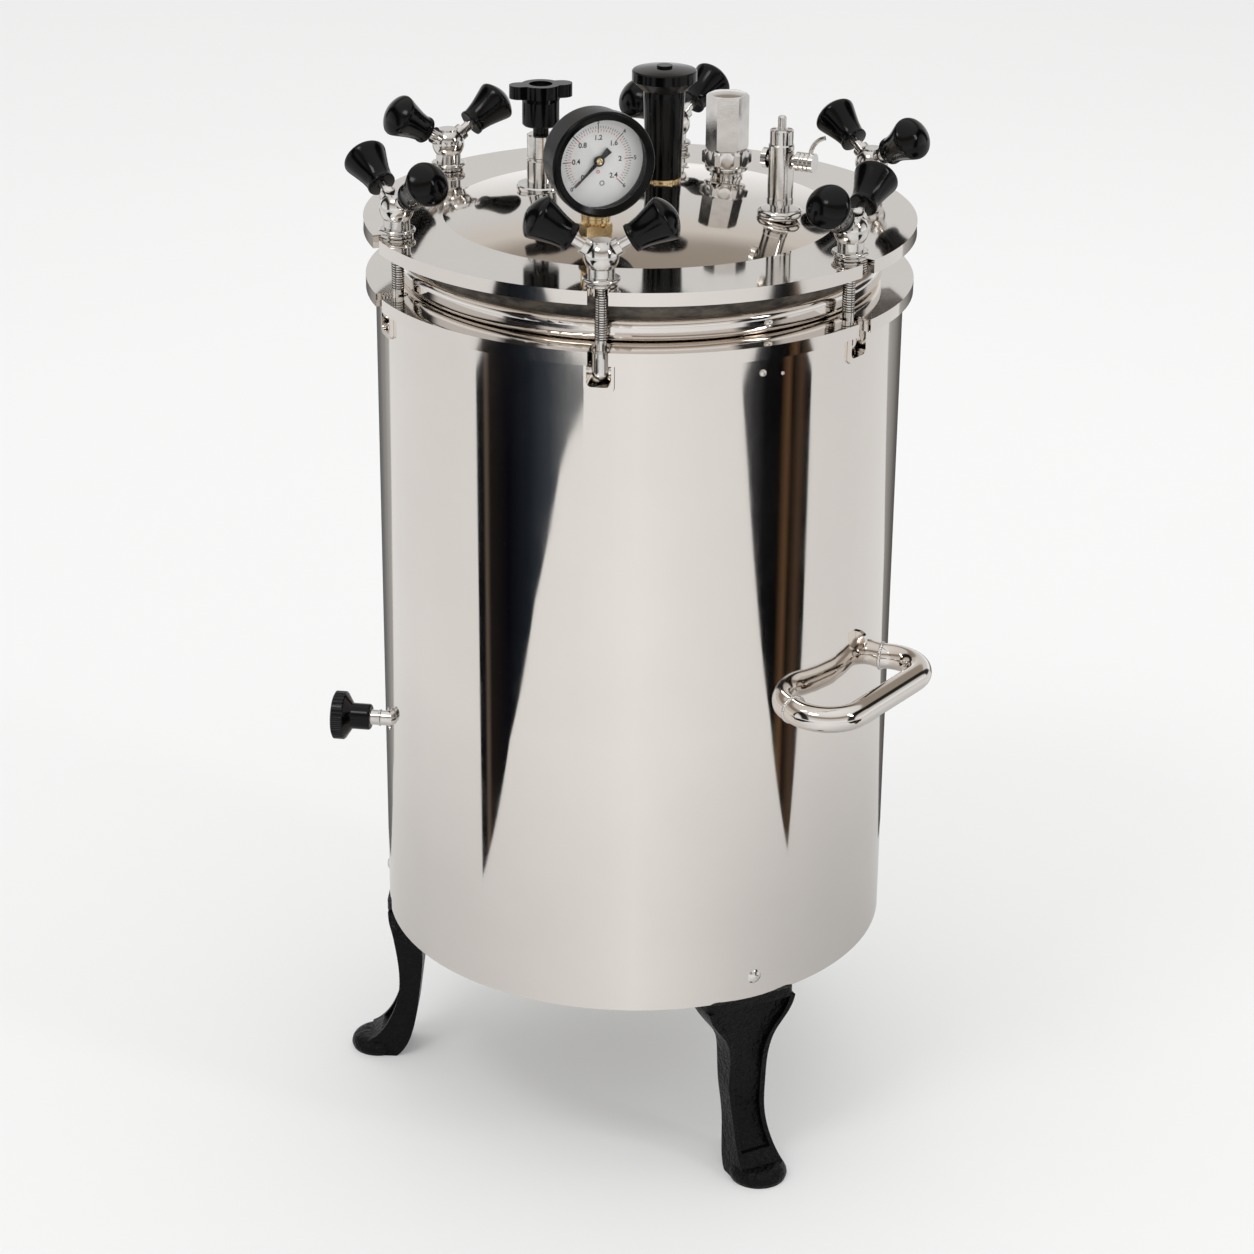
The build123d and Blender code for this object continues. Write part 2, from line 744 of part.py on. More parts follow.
def petcock_barrel():
    # Neck, collar and slim barrel, with a castellated cap and a round pin on top.
    bottom = dome_level(petcock_circle) + petcock_foot_height
    neck_top = bottom + petcock_neck_height
    collar_top = neck_top + petcock_collar_height
    cap_top = petcock_shoulder + petcock_cap_height
    pin_top = cap_top + petcock_pin_height
    barrel = turned_points(
        (0, bottom), (petcock_neck_radius, bottom), (petcock_neck_radius, neck_top),
        (petcock_collar_radius, neck_top), (petcock_collar_radius, collar_top - 1),
        (petcock_barrel_radius, collar_top), (petcock_barrel_radius, petcock_shoulder - 1),
        (petcock_cap_radius, petcock_shoulder), (petcock_cap_radius, cap_top - 1),
        (petcock_cap_radius - 1, cap_top), (petcock_pin_radius, cap_top),
        (petcock_pin_radius, pin_top - 1), (petcock_pin_radius - 1, pin_top), (0, pin_top),
    )
    notch = Pos(petcock_cap_radius, 0, cap_top) * Box(
        petcock_cap_radius, petcock_cap_slot, petcock_cap_slot
    )
    barrel -= [Rot(0, 0, i * 360 / petcock_cap_slots) * notch for i in range(petcock_cap_slots)]
    plug_hole = Pos(0, 0, lever_height) * Rot(0, 0, lever_heading) * Rot(0, 90, 0) * Cylinder(
        lever_radius + spindle_clearance, 4 * petcock_barrel_radius
    )
    return upright(petcock_circle, petcock_angle, lid_top) * (barrel - plug_hole)


def petcock_lever():
    # The cock's plug: a pin through the barrel, a head on one side, a grooved spool with a curved
    # horn on the other.
    near = petcock_barrel_radius + turning_gap
    spool_start = near + lever_neck
    spool_end = spool_start + lever_spool_length
    plug = column(lever_radius, -near - lever_head_thickness, spool_end)
    plug += column(lever_shoulder_radius, near, spool_start)
    plug += column(lever_spool_radius, spool_start, spool_end)
    groove_pitch = lever_spool_length / (lever_spool_grooves + 1)
    for i in range(lever_spool_grooves):
        groove_start = spool_start + (i + 1) * groove_pitch - lever_groove_depth / 2
        groove_end = groove_start + lever_groove_depth
        core = column(lever_spool_radius - lever_groove_depth, groove_start, groove_end)
        plug -= column(lever_spool_radius + 1, groove_start, groove_end) - core
    plug += column(lever_head_radius, -near - lever_head_thickness, -near)
    plug = Rot(0, 90, 0) * plug
    horn_section = Plane.XY * Circle(lever_horn_radius)
    horn = revolve(horn_section, Axis((lever_horn_bend, 0, 0), (0, 1, 0)), lever_horn_turn)
    plug += Pos(spool_end - 2 * lever_horn_radius, 0, lever_spool_radius - lever_horn_radius) * horn
    turned_plug = Rot(0, 0, lever_heading) * plug
    return upright(petcock_circle, petcock_angle, lid_top + lever_height) * turned_plug


def vent_body():
    # Round flange and thick steel body on the dome, that the knob's stem runs in.
    level = dome_level(vent_circle)
    flange_top = level + vent_flange_height
    half = (flange_top + vent_pipe_top) / 2
    inner = vent_pipe_radius - vent_groove_depth
    body = turned_points(
        (0, level), (vent_flange_radius, level), (vent_flange_radius, flange_top - 1),
        (vent_flange_radius - 1, flange_top), (vent_pipe_radius, flange_top), (vent_pipe_radius, half - 1),
        (inner, half), (inner, half + 1), (vent_pipe_radius, half + 2),
        (vent_pipe_radius, vent_pipe_top - 1), (vent_pipe_radius - 1, vent_pipe_top), (0, vent_pipe_top),
    )
    spindle_bottom = vent_pipe_top - knob_spindle_length
    body -= column(knob_spindle_radius + spindle_clearance, spindle_bottom, vent_pipe_top)
    raised = upright(vent_circle, vent_angle, lid_top) * body
    return raised + lid_collar(vent_circle, vent_angle, vent_flange_radius - 1, 1)


def vent_knob():
    # A two-lobed black knob, dished in its middle, on a flared boss and a steel stem in the body.
    lobe_radius = vent_knob_thickness * 0.8
    half = vent_knob_width / 2 - lobe_radius
    bar_bottom = vent_top - vent_knob_thickness
    wing = make_hull(
        [*(Pos(half, 0) * Circle(lobe_radius)).edges(), *(Pos(-half, 0) * Circle(lobe_radius)).edges()]
    )
    bar = Pos(0, 0, bar_bottom) * extrude(wing + Circle(vent_boss_radius), vent_knob_thickness)
    bar -= column(vent_recess_radius, vent_top - vent_recess_depth, vent_top)
    boss_bottom = vent_pipe_top + turning_gap + vent_stem_length
    flare = (boss_bottom + bar_bottom) / 2
    boss = turned_points(
        (0, boss_bottom), (vent_boss_foot_radius, boss_bottom), (vent_boss_foot_radius + 1, boss_bottom + 1),
        (vent_boss_foot_radius + 1, flare), (vent_boss_radius, bar_bottom), (0, bar_bottom),
    )
    stem = column(vent_stem_radius, vent_pipe_top + turning_gap, boss_bottom)
    spindle = column(knob_spindle_radius, vent_pipe_top - knob_spindle_length + spindle_gap, boss_bottom)
    knob = Rot(0, 0, vent_knob_heading) * (bar + boss) + stem + spindle
    return upright(vent_circle, vent_angle, lid_top) * knob


def swing_bolt():
    # Bolt with a round-ended eye barrel, standing on its pivot at height 0.
    top = lid_top - pivot_height + bolt_stand
    bolt = Sphere(eye_radius) + column(eye_radius, 0, eye_top - 1) + column(eye_radius - 1, 0, eye_top)
    bolt += column(bolt_radius, 0, top - 1) + column(bolt_radius - 1, 0, top)
    return bolt - Rot(90, 0, 0) * Cylinder(pivot_radius + pivot_clearance, 4 * eye_radius)


def washer():
    bore = bolt_radius + washer_fit
    edge = washer_radius - washer_edge
    return turned_points(
        (bore, 0), (edge, 0), (washer_radius, washer_edge), (washer_radius, washer_thickness - washer_edge),
        (edge, washer_thickness), (bore, washer_thickness),
    )


def arm_place(side):
    tilt = 90 - arm_tilt
    return Pos(0, 0, nut_ball_height) * Rot(0, 0, 0 if side > 0 else 180) * Rot(0, tilt, 0)


def wing_nut():
    # Turned nut: groove, round-edged flange, neck, ball and flat cap, with two raised arms.
    neck_top = nut_ball_height - sqrt(nut_ball_radius**2 - nut_neck_radius**2)
    cap_bottom = nut_ball_height + sqrt(nut_ball_radius**2 - nut_cap_radius**2)
    cap_top = cap_bottom + nut_cap_height
    groove_top = nut_groove_height
    flange_top = groove_top + nut_flange_height
    bulge = nut_flange_height / 2
    edge = nut_flange_radius - bulge
    nut = turned(
        Polyline((0, 0), (nut_groove_radius, 0), (nut_groove_radius, groove_top), (edge, groove_top)),
        RadiusArc((edge, groove_top), (edge, flange_top), -bulge),
        Polyline((edge, flange_top), (nut_neck_radius, flange_top), (nut_neck_radius, neck_top)),
        ThreePointArc(
            (nut_neck_radius, neck_top), (nut_ball_radius, nut_ball_height), (nut_cap_radius, cap_bottom)
        ),
        Polyline((nut_cap_radius, cap_bottom), (nut_cap_radius, cap_top), (0, cap_top), (0, 0)),
    )
    nut += [arm_place(side) * column(arm_boss_radius, 0, arm_boss_reach) for side in (1, -1)]
    nut += [arm_place(side) * column(arm_radius, 0, arm_length) for side in (1, -1)]
    return nut - column(bolt_radius + nut_bore_fit, 0, nut_bore_depth)


def wing_knob():
    # Flared knob with a small lip at the arm and a shallow domed end, bored for the arm.
    hole = arm_radius + knob_fit
    bore_end = arm_length + knob_fit
    lip = knob_start + knob_lip_length
    edge = knob_radius - 0.5
    middle = ((knob_waist_radius + edge) / 2 - knob_hollow, (lip + 1 + knob_shoulder - 1) / 2)
    knob = turned(
        Polyline((hole, knob_start), (knob_lip_radius - 0.8, knob_start), (knob_lip_radius, knob_start + 0.8),
                 (knob_lip_radius, lip), (knob_waist_radius, lip + 1)),
        ThreePointArc((knob_waist_radius, lip + 1), middle, (edge, knob_shoulder - 1)),
        Polyline((edge, knob_shoulder - 1), (knob_radius, knob_shoulder), (knob_radius, knob_shoulder + 0.6)),
        crown(knob_radius, knob_shoulder + 0.6, knob_end),
        Polyline((0, knob_end), (0, bore_end), (hole, bore_end), (hole, knob_start)),
    )
    return knob


def wing_knobs():
    return [arm_place(side) * wing_knob() for side in (1, -1)]


def all_pieces():
    pieces = {
        "outer_jacket": outer_jacket(),
        "base_plate": base_plate(),
        "support_ring": support_ring(),
        "hinge_pockets": [around(clamp_circle, angle, drum_top) * hinge_pocket() for angle in clamp_angles],
        "pivot_pins": [around(clamp_circle, angle, drum_top) * pivot_pin() for angle in clamp_angles],
        "pressure_chamber": pressure_chamber(),
        "chamber_rim": chamber_rim(),
        "lid_gasket": lid_gasket(),
        "lid": lid(),
        "leg_brackets": [around(0, angle, 0) * leg_bracket() for angle in leg_angles.values()],
        "leg_screws": [around(0, angle, 0) * leg_screw() for angle in leg_angles.values()],
        "drain_stub": drain_stub(),
        "drain_knob": drain_knob(),
        "gauge_union": gauge_union(),
        "gauge_case": gauge_case(),
        "gauge_bezel": gauge_bezel(),
        "gauge_dial": gauge_dial(),
        "gauge_glass": gauge_glass(),
        "gauge_needle": gauge_needle(),
        "safety_valve_base": safety_valve_base(),
        "safety_valve_body": safety_valve_body(),
        "safety_valve_cap": safety_valve_cap(),
        "relief_valve_nipple": relief_valve_nipple(),
        "relief_valve_body": relief_valve_body(),
        "petcock_foot": petcock_foot(),
        "petcock_barrel": petcock_barrel(),
        "petcock_lever": petcock_lever(),
        "vent_body": vent_body(),
        "vent_knob": vent_knob(),
    }
    cover = pieces["lid"]
    for name in ("gauge_union", "safety_valve_base", "relief_valve_nipple", "petcock_foot", "vent_body"):
        pieces[name] -= cover
    for name, angle in leg_angles.items():
        pieces[name] = around(0, angle, 0) * leg()
    for name, angle in handle_angles.items():
        pieces[name] = [around(0, angle, 0) * shape for shape in (handle(), handle_lug())]
    for number, (angle, heading) in enumerate(zip(clamp_angles, arm_headings), 1):
        pieces[f"swing_bolt_{number}"] = around(clamp_circle, angle, pivot_height) * swing_bolt()
        pieces[f"washer_{number}"] = upright(clamp_circle, angle, washer_bottom) * washer()
        nut_place = upright(clamp_circle, angle, nut_bottom) * Rot(0, 0, heading)
        pieces[f"wing_nut_{number}"] = nut_place * wing_nut()
        pieces[f"wing_knobs_{number}"] = [nut_place * knob for knob in wing_knobs()]
    return {name: as_solids(shape) for name, shape in pieces.items()}


def as_solids(shape):
    shapes = shape if isinstance(shape, list) else [shape]
    return [solid for item in shapes for solid in item.solids()]


def write_parts():
    os.makedirs("parts", exist_ok=True)
    pieces = all_pieces()
    box = Compound([solid for solids in pieces.values() for solid in solids]).bounding_box()
    shift = Pos(-(box.min.X + box.max.X) / 2, -(box.min.Y + box.max.Y) / 2, 0)
    print("origin shift", shift.position)
    for name, solids in pieces.items():
        moved = [shift * solid for solid in solids]
        export_step(moved[0] if len(moved) == 1 else Compound(moved), f"parts/{name}.step")


write_parts()
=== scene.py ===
import json
from math import cos, pi, radians, sin, sqrt

import bmesh
import bpy
from mathutils import Matrix, Vector

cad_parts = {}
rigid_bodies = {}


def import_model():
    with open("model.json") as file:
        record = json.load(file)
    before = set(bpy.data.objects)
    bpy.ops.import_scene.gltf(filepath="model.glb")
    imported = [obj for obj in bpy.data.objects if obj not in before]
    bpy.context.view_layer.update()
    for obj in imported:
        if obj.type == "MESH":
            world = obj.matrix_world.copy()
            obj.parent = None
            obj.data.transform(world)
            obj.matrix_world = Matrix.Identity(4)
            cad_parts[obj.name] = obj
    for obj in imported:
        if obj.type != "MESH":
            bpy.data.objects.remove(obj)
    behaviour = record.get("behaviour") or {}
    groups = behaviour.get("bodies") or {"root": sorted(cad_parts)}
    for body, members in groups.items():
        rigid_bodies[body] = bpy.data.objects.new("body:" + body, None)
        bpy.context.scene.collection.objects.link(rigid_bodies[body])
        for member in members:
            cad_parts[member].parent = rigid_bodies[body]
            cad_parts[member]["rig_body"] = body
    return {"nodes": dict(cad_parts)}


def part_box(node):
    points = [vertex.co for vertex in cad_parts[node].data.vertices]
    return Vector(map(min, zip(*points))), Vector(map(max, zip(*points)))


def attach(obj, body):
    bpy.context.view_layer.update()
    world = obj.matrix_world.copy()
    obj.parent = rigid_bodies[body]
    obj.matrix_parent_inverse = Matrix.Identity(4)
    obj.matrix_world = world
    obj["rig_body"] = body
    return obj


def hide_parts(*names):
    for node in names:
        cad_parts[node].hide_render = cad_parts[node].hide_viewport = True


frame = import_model()
bpy.context.view_layer.update()
cadNodes = frame["nodes"]
bodyOf = {name: node["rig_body"] for name, node in cadNodes.items()}
mm = 0.001

# the vessel's own axis runs up the middle of its pressure chamber
chamberLow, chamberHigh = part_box("pressure_chamber")
axis = Vector(((chamberLow.x + chamberHigh.x) / 2, (chamberLow.y + chamberHigh.y) / 2, 0))
print("frame loaded:", len(cadNodes), "nodes, axis at", axis)


def onCircle(radius, angle, height):
    # angle in degrees, 0 at the front and growing towards +X; sizes in metres
    return axis + Vector((radius * sin(radians(angle)), -radius * cos(radians(angle)), height))


# Camera, at the photograph's viewpoint

cameraView = {
    "place": (0.0, -2.3536, 1.3909),  # from the vessel's axis
    "lens": 91.6,
    "sensor": 36,
    "pitch": 23.036,  # degrees, as the next two
    "yaw": -0.178,
    "roll": 0.511,
}


def setCamera(v):
    pitch, yaw, roll = radians(v["pitch"]), radians(v["yaw"]), radians(v["roll"])
    forward = Vector((sin(yaw) * cos(pitch), cos(yaw) * cos(pitch), -sin(pitch)))
    level = Vector((cos(yaw), -sin(yaw), 0))
    lifted = level.cross(forward)
    right = level * cos(roll) + lifted * sin(roll)
    up = lifted * cos(roll) - level * sin(roll)
    data = bpy.data.cameras.new("camera")
    data.lens, data.sensor_width, data.sensor_fit = v["lens"], v["sensor"], "AUTO"
    camera = bpy.data.objects.new("camera", data)
    bpy.context.scene.collection.objects.link(camera)
    turn = Matrix((right, up, -forward)).transposed().to_4x4()
    camera.matrix_world = Matrix.Translation(axis + Vector(v["place"])) @ turn
    bpy.context.scene.camera = camera


setCamera(cameraView)
bpy.context.scene.view_settings.view_transform = "Standard"


# Small helpers for shader nodes

def newMaterial(name):
    material = bpy.data.materials.new(name)
    material.use_nodes = True
    tree = material.node_tree
    return material, tree, tree.nodes["Principled BSDF"]


def addNode(tree, kind, settings=None, **inputs):
    node = tree.nodes.new(kind)
    for key, value in (settings or {}).items():
        setattr(node, key, value)
    for key, value in inputs.items():
        node.inputs[key.replace("_", " ")].default_value = value
    return node


def objectCoordinates(tree, stretch=(1, 1, 1)):
    place = tree.nodes.new("ShaderNodeTexCoord")
    mapping = addNode(tree, "ShaderNodeMapping", Location=-axis, Scale=stretch)
    tree.links.new(place.outputs["Object"], mapping.inputs["Vector"])
    return mapping.outputs["Vector"]


def noise(tree, vector, scale, detail=3.0, roughness=0.5):
    node = addNode(tree, "ShaderNodeTexNoise", Scale=scale, Detail=detail, Roughness=roughness)
    tree.links.new(vector, node.inputs["Vector"])
    return node.outputs["Fac"]


def ramp(tree, factor, stops):
    # stops is a list of (place, colour), a colour being one number or three
    node = tree.nodes.new("ShaderNodeValToRGB")
    while len(node.color_ramp.elements) < len(stops):
        node.color_ramp.elements.new(0.5)
    for element, (place, colour) in zip(node.color_ramp.elements, stops):
        shades = (colour,) * 3 if isinstance(colour, (int, float)) else colour
        element.position, element.color = place, (*shades, 1)
    tree.links.new(factor, node.inputs["Fac"])
    return node.outputs["Color"]


def bump(tree, shader, height, distance, strength=1.0):
    node = addNode(tree, "ShaderNodeBump", Strength=strength, Distance=distance)
    tree.links.new(height, node.inputs["Height"])
    earlier = shader.inputs["Normal"].links
    if earlier:
        tree.links.new(earlier[0].from_socket, node.inputs["Normal"])
    tree.links.new(node.outputs["Normal"], shader.inputs["Normal"])


# Finishes: shades and roughness are stops that one noise runs through

finishes = {
    "polishedSteel": {
        "tint": (0.84, 0.795, 0.75), "dim": 0.97, "smudge": 9.0, "streak": 260.0, "streakShare": 0.25,
        "roughness": [(0.4, 0.03), (0.85, 0.09)], "wave": 5.0, "waveDepth": 0.0006, "waveStrength": 0.4,
    },
    "turnedSteel": {
        "tint": (0.78, 0.755, 0.725), "dim": 0.88, "patch": 70, "roughness": [(0.3, 0.17), (0.7, 0.07)],
        "lines": 3200, "lineDepth": 0.00003, "lineStrength": 0.5,
    },
    "plainSteel": {
        "patch": 14, "shades": [(0.3, (0.36, 0.34, 0.32)), (0.7, (0.50, 0.48, 0.45))],
        "roughness": [(0.3, 0.42), (0.7, 0.26)], "grain": 900, "grainDepth": 0.00005, "grainStrength": 0.6,
    },
    "threadSteel": {
        "film": 300, "shades": [(0.3, (0.09, 0.075, 0.06)), (0.7, (0.26, 0.23, 0.20))],
        "roughness": [(0.3, 0.38), (0.7, 0.22)],
    },
    "castBlack": {
        "grain": 260.0, "shades": [(0.3, (0.001, 0.001, 0.001)), (0.75, (0.004, 0.004, 0.0045))],
        "lumps": 90, "roughness": [(0.3, 0.2), (0.7, 0.34)], "specular": 0.16,
        "lumpDepth": 0.0015, "lumpStrength": 0.5, "grainDepth": 0.0022, "grainStrength": 1.0,
    },
    "blackPlastic": {
        "marks": 60.0, "shades": [(0.35, (0.001, 0.001, 0.001)), (0.8, (0.003, 0.003, 0.0033))],
        "roughness": [(0.3, 0.1), (0.75, 0.2)], "specular": 0.22,
        "scratches": 900, "scratchDepth": 0.00004, "scratchStrength": 0.35,
    },
    "brass": {
        "patch": 120, "shades": [(0.3, (0.60, 0.40, 0.17)), (0.6, (0.95, 0.74, 0.42))],
        "roughness": [(0.3, 0.26), (0.7, 0.1)], "grain": 900, "grainDepth": 0.00005, "grainStrength": 0.5,
    },
    "blackEnamel": {
        "wear": 45, "shades": [(0.35, 0.001), (0.8, 0.004)], "roughness": [(0.3, 0.18), (0.7, 0.3)],
        "specular": 0.17, "peel": 700, "peelDepth": 0.00008, "peelStrength": 0.5,
    },
    "dialWhite": {
        "stain": 60, "shades": [(0.3, (0.91, 0.91, 0.90)), (0.7, (0.95, 0.95, 0.94))], "roughness": 0.45,
    },
    "clearGlass": {"film": 40, "roughness": [(0.4, 0.0), (0.9, 0.03)], "reflection": 0.035},
    "gasketRubber": {
        # the lighter brown stop is a painted reflection over the dark rubber
        "reflectionMottle": 28, "shades": [(0.38, (0.010, 0.007, 0.005)), (0.66, (0.15, 0.12, 0.09))],
        "roughness": [(0.38, 0.5), (0.66, 0.22)], "grain": 500, "grainDepth": 0.0001, "grainStrength": 0.5,
    },
}

inks = {
    "blackInk": {"shades": [(0.3, (0.004, 0.004, 0.005)), (0.7, (0.012, 0.012, 0.014))]},
    "redInk": {"shades": [(0.3, (0.62, 0.06, 0.06)), (0.7, (0.72, 0.10, 0.10))]},
    "spread": 900,
    "roughness": 0.55,
}


def paint(tree, shader, factor, v, rough=None):
    # the shades follow one noise, and so does the roughness unless it has its own
    tree.links.new(ramp(tree, factor, v["shades"]), shader.inputs["Base Color"])
    tree.links.new(ramp(tree, rough or factor, v["roughness"]), shader.inputs["Roughness"])


def polishedSteel(v):
    # mirror polish with faint wipe marks and the slow waves of rolled sheet
    material, tree, shader = newMaterial("polishedSteel")
    shader.inputs["Metallic"].default_value = 1
    here = objectCoordinates(tree)
    smudge = noise(tree, here, v["smudge"], 4, 0.6)
    streak = noise(tree, objectCoordinates(tree, (1, 1, 0.12)), v["streak"], 2, 0.5)
    mixed = addNode(tree, "ShaderNodeMath", {"operation": "MULTIPLY_ADD"})
    mixed.inputs[1].default_value = v["streakShare"]
    tree.links.new(streak, mixed.inputs[0])
    tree.links.new(smudge, mixed.inputs[2])
    dim = tuple(v["dim"] * c for c in v["tint"])
    shades = {"shades": [(0.35, dim), (0.65, v["tint"])], "roughness": v["roughness"]}
    paint(tree, shader, smudge, shades, mixed.outputs[0])
    bump(tree, shader, noise(tree, here, v["wave"], 1), v["waveDepth"], v["waveStrength"])
    return material


def turnedSteel(v):
    # machined and buffed, with fine marks
    material, tree, shader = newMaterial("turnedSteel")
    shader.inputs["Metallic"].default_value = 1
    patch = noise(tree, objectCoordinates(tree), v["patch"], 4, 0.6)
    lines = noise(tree, objectCoordinates(tree, (0.05, 0.05, 1)), v["lines"], 1)
    dim = tuple(v["dim"] * c for c in v["tint"])
    paint(tree, shader, patch, {"shades": [(0.3, dim), (0.6, v["tint"])], "roughness": v["roughness"]})
    bump(tree, shader, lines, v["lineDepth"], v["lineStrength"])
    return material


def plainSteel(v):
    # mill finish inside and under the drum
    material, tree, shader = newMaterial("plainSteel")
    shader.inputs["Metallic"].default_value = 1
    paint(tree, shader, noise(tree, objectCoordinates(tree), v["patch"], 5, 0.6), v)
    grain = noise(tree, objectCoordinates(tree, (1, 1, 0.02)), v["grain"], 2)
    bump(tree, shader, grain, v["grainDepth"], v["grainStrength"])
    return material


def threadSteel(v):
    # crests much darker than the bright rod, so that the thread reads against it
    material, tree, shader = newMaterial("threadSteel")
    shader.inputs["Metallic"].default_value = 1
    paint(tree, shader, noise(tree, objectCoordinates(tree), v["film"], 3), v)
    return material


def castBlack(v):
    # sand-cast iron under black paint, pebbled all over
    material, tree, shader = newMaterial("castBlack")
    here = objectCoordinates(tree)
    grain = noise(tree, here, v["grain"], 3, 0.55)
    lumps = noise(tree, here, v["lumps"], 3, 0.5)
    paint(tree, shader, grain, v, lumps)
    shader.inputs["Specular IOR Level"].default_value = v["specular"]
    bump(tree, shader, lumps, v["lumpDepth"], v["lumpStrength"])
    bump(tree, shader, grain, v["grainDepth"], v["grainStrength"])
    return material


def blackPlastic(v):
    # moulded phenolic, glossy with faint handling marks
    material, tree, shader = newMaterial("blackPlastic")
    paint(tree, shader, noise(tree, objectCoordinates(tree), v["marks"], 5, 0.65), v)
    shader.inputs["Specular IOR Level"].default_value = v["specular"]
    scratches = noise(tree, objectCoordinates(tree, (1, 0.15, 0.4)), v["scratches"], 2)
    bump(tree, shader, scratches, v["scratchDepth"], v["scratchStrength"])
    return material


def brass(v):
    material, tree, shader = newMaterial("brass")
    shader.inputs["Metallic"].default_value = 1
    here = objectCoordinates(tree)
    paint(tree, shader, noise(tree, here, v["patch"], 5, 0.6), v)
    bump(tree, shader, noise(tree, here, v["grain"], 2), v["grainDepth"], v["grainStrength"])
    return material


def blackEnamel(v):
    # stoved paint on the gauge, with a little orange peel
    material, tree, shader = newMaterial("blackEnamel")
    here = objectCoordinates(tree)
    paint(tree, shader, noise(tree, here, v["wear"], 4), v)
    shader.inputs["Specular IOR Level"].default_value = v["specular"]
    bump(tree, shader, noise(tree, here, v["peel"], 2), v["peelDepth"], v["peelStrength"])
    return material


def dialWhite(v):
    material, tree, shader = newMaterial("dialWhite")
    stain = noise(tree, objectCoordinates(tree), v["stain"], 3)
    tree.links.new(ramp(tree, stain, v["shades"]), shader.inputs["Base Color"])
    shader.inputs["Roughness"].default_value = v["roughness"]
    return material


def printInk(name, v):
    material, tree, shader = newMaterial(name)
    spread = noise(tree, objectCoordinates(tree), v["spread"], 2)
    tree.links.new(ramp(tree, spread, v[name]["shades"]), shader.inputs["Base Color"])
    shader.inputs["Roughness"].default_value = v["roughness"]
    return material


def clearGlass(v):
    # thin flat glass: clear, with a weak reflection over it
    material, tree, shader = newMaterial("clearGlass")
    film = noise(tree, objectCoordinates(tree), v["film"], 3)
    tree.links.new(ramp(tree, film, v["roughness"]), shader.inputs["Roughness"])
    shader.inputs["Metallic"].default_value = 1
    clear = tree.nodes.new("ShaderNodeBsdfTransparent")
    share = tree.nodes.new("ShaderNodeMixShader")
    share.inputs["Fac"].default_value = v["reflection"]
    tree.links.new(clear.outputs["BSDF"], share.inputs[1])
    tree.links.new(shader.outputs["BSDF"], share.inputs[2])
    tree.links.new(share.outputs["Shader"], tree.nodes["Material Output"].inputs["Surface"])
    return material


def gasketRubber(v):
    # dark rubber with a painted reflection: lighter brown patches that run round the vessel
    material, tree, shader = newMaterial("gasketRubber")
    paint(tree, shader, noise(tree, objectCoordinates(tree, (1, 1, 3)), v["reflectionMottle"], 6, 0.7), v)
    grain = noise(tree, objectCoordinates(tree), v["grain"], 3)
    bump(tree, shader, grain, v["grainDepth"], v["grainStrength"])
    return material


# keyed by the record's material slots
materials = {
    "polished_steel": polishedSteel(finishes["polishedSteel"]),
    "turned_steel": turnedSteel(finishes["turnedSteel"]),
    "plain_steel": plainSteel(finishes["plainSteel"]),
    "cast_black": castBlack(finishes["castBlack"]),
    "black_plastic": blackPlastic(finishes["blackPlastic"]),
    "brass": brass(finishes["brass"]),
    "black_enamel": blackEnamel(finishes["blackEnamel"]),
    "dial_white": dialWhite(finishes["dialWhite"]),
    "clear_glass": clearGlass(finishes["clearGlass"]),
    "gasket_rubber": gasketRubber(finishes["gasketRubber"]),
}
darkThreadSteel = threadSteel(finishes["threadSteel"])
blackInk = printInk("blackInk", inks)
redInk = printInk("redInk", inks)
print("finishes made:", len(materials))

for cadNode in cadNodes.values():
    for materialSlot in cadNode.material_slots:
        slotName = materialSlot.material.name.split(".")[0]
        materialSlot.material = materials[slotName]
# the gauge's glass doesn't shade its dial, and the photo's drum mirrors hardly any of the drain knob
gaugeGlass = cadNodes["gauge_glass"]
gaugeGlass.visible_shadow = gaugeGlass.visible_diffuse = False
cadNodes["drain_knob"].visible_glossy = False
print("finishes given to the nodes")


# Small helpers for pieces

smoothness = {"wire": 3, "threadTurn": 28, "threadRidge": 4}


def placePiece(name, mesh, node):
    # a finished mesh becomes a piece that moves with the body of a CAD node
    piece = bpy.data.objects.new(name, mesh)
    bpy.context.scene.collection.objects.link(piece)
    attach(piece, bodyOf[node])
    return piece


def joinMeshes(name, meshes, material):
    joined = bmesh.new()
    for mesh in meshes:
        joined.from_mesh(mesh)
        bpy.data.meshes.remove(mesh)
    mesh = bpy.data.meshes.new(name)
    joined.to_mesh(mesh)
    joined.free()
    mesh.materials.clear()
    mesh.materials.append(material)
    for face in mesh.polygons:
        face.material_index = 0
    return mesh


def evaluatedMesh(source):
    bpy.context.scene.collection.objects.link(source)
    bpy.context.view_layer.update()
    graph = bpy.context.evaluated_depsgraph_get()
    mesh = bpy.data.meshes.new_from_object(source.evaluated_get(graph), depsgraph=graph)
    bpy.data.objects.remove(source)
    return mesh


def scaled(profile):
    # a profile written in millimetres
    return [(radius * mm, height * mm) for radius, height in profile]


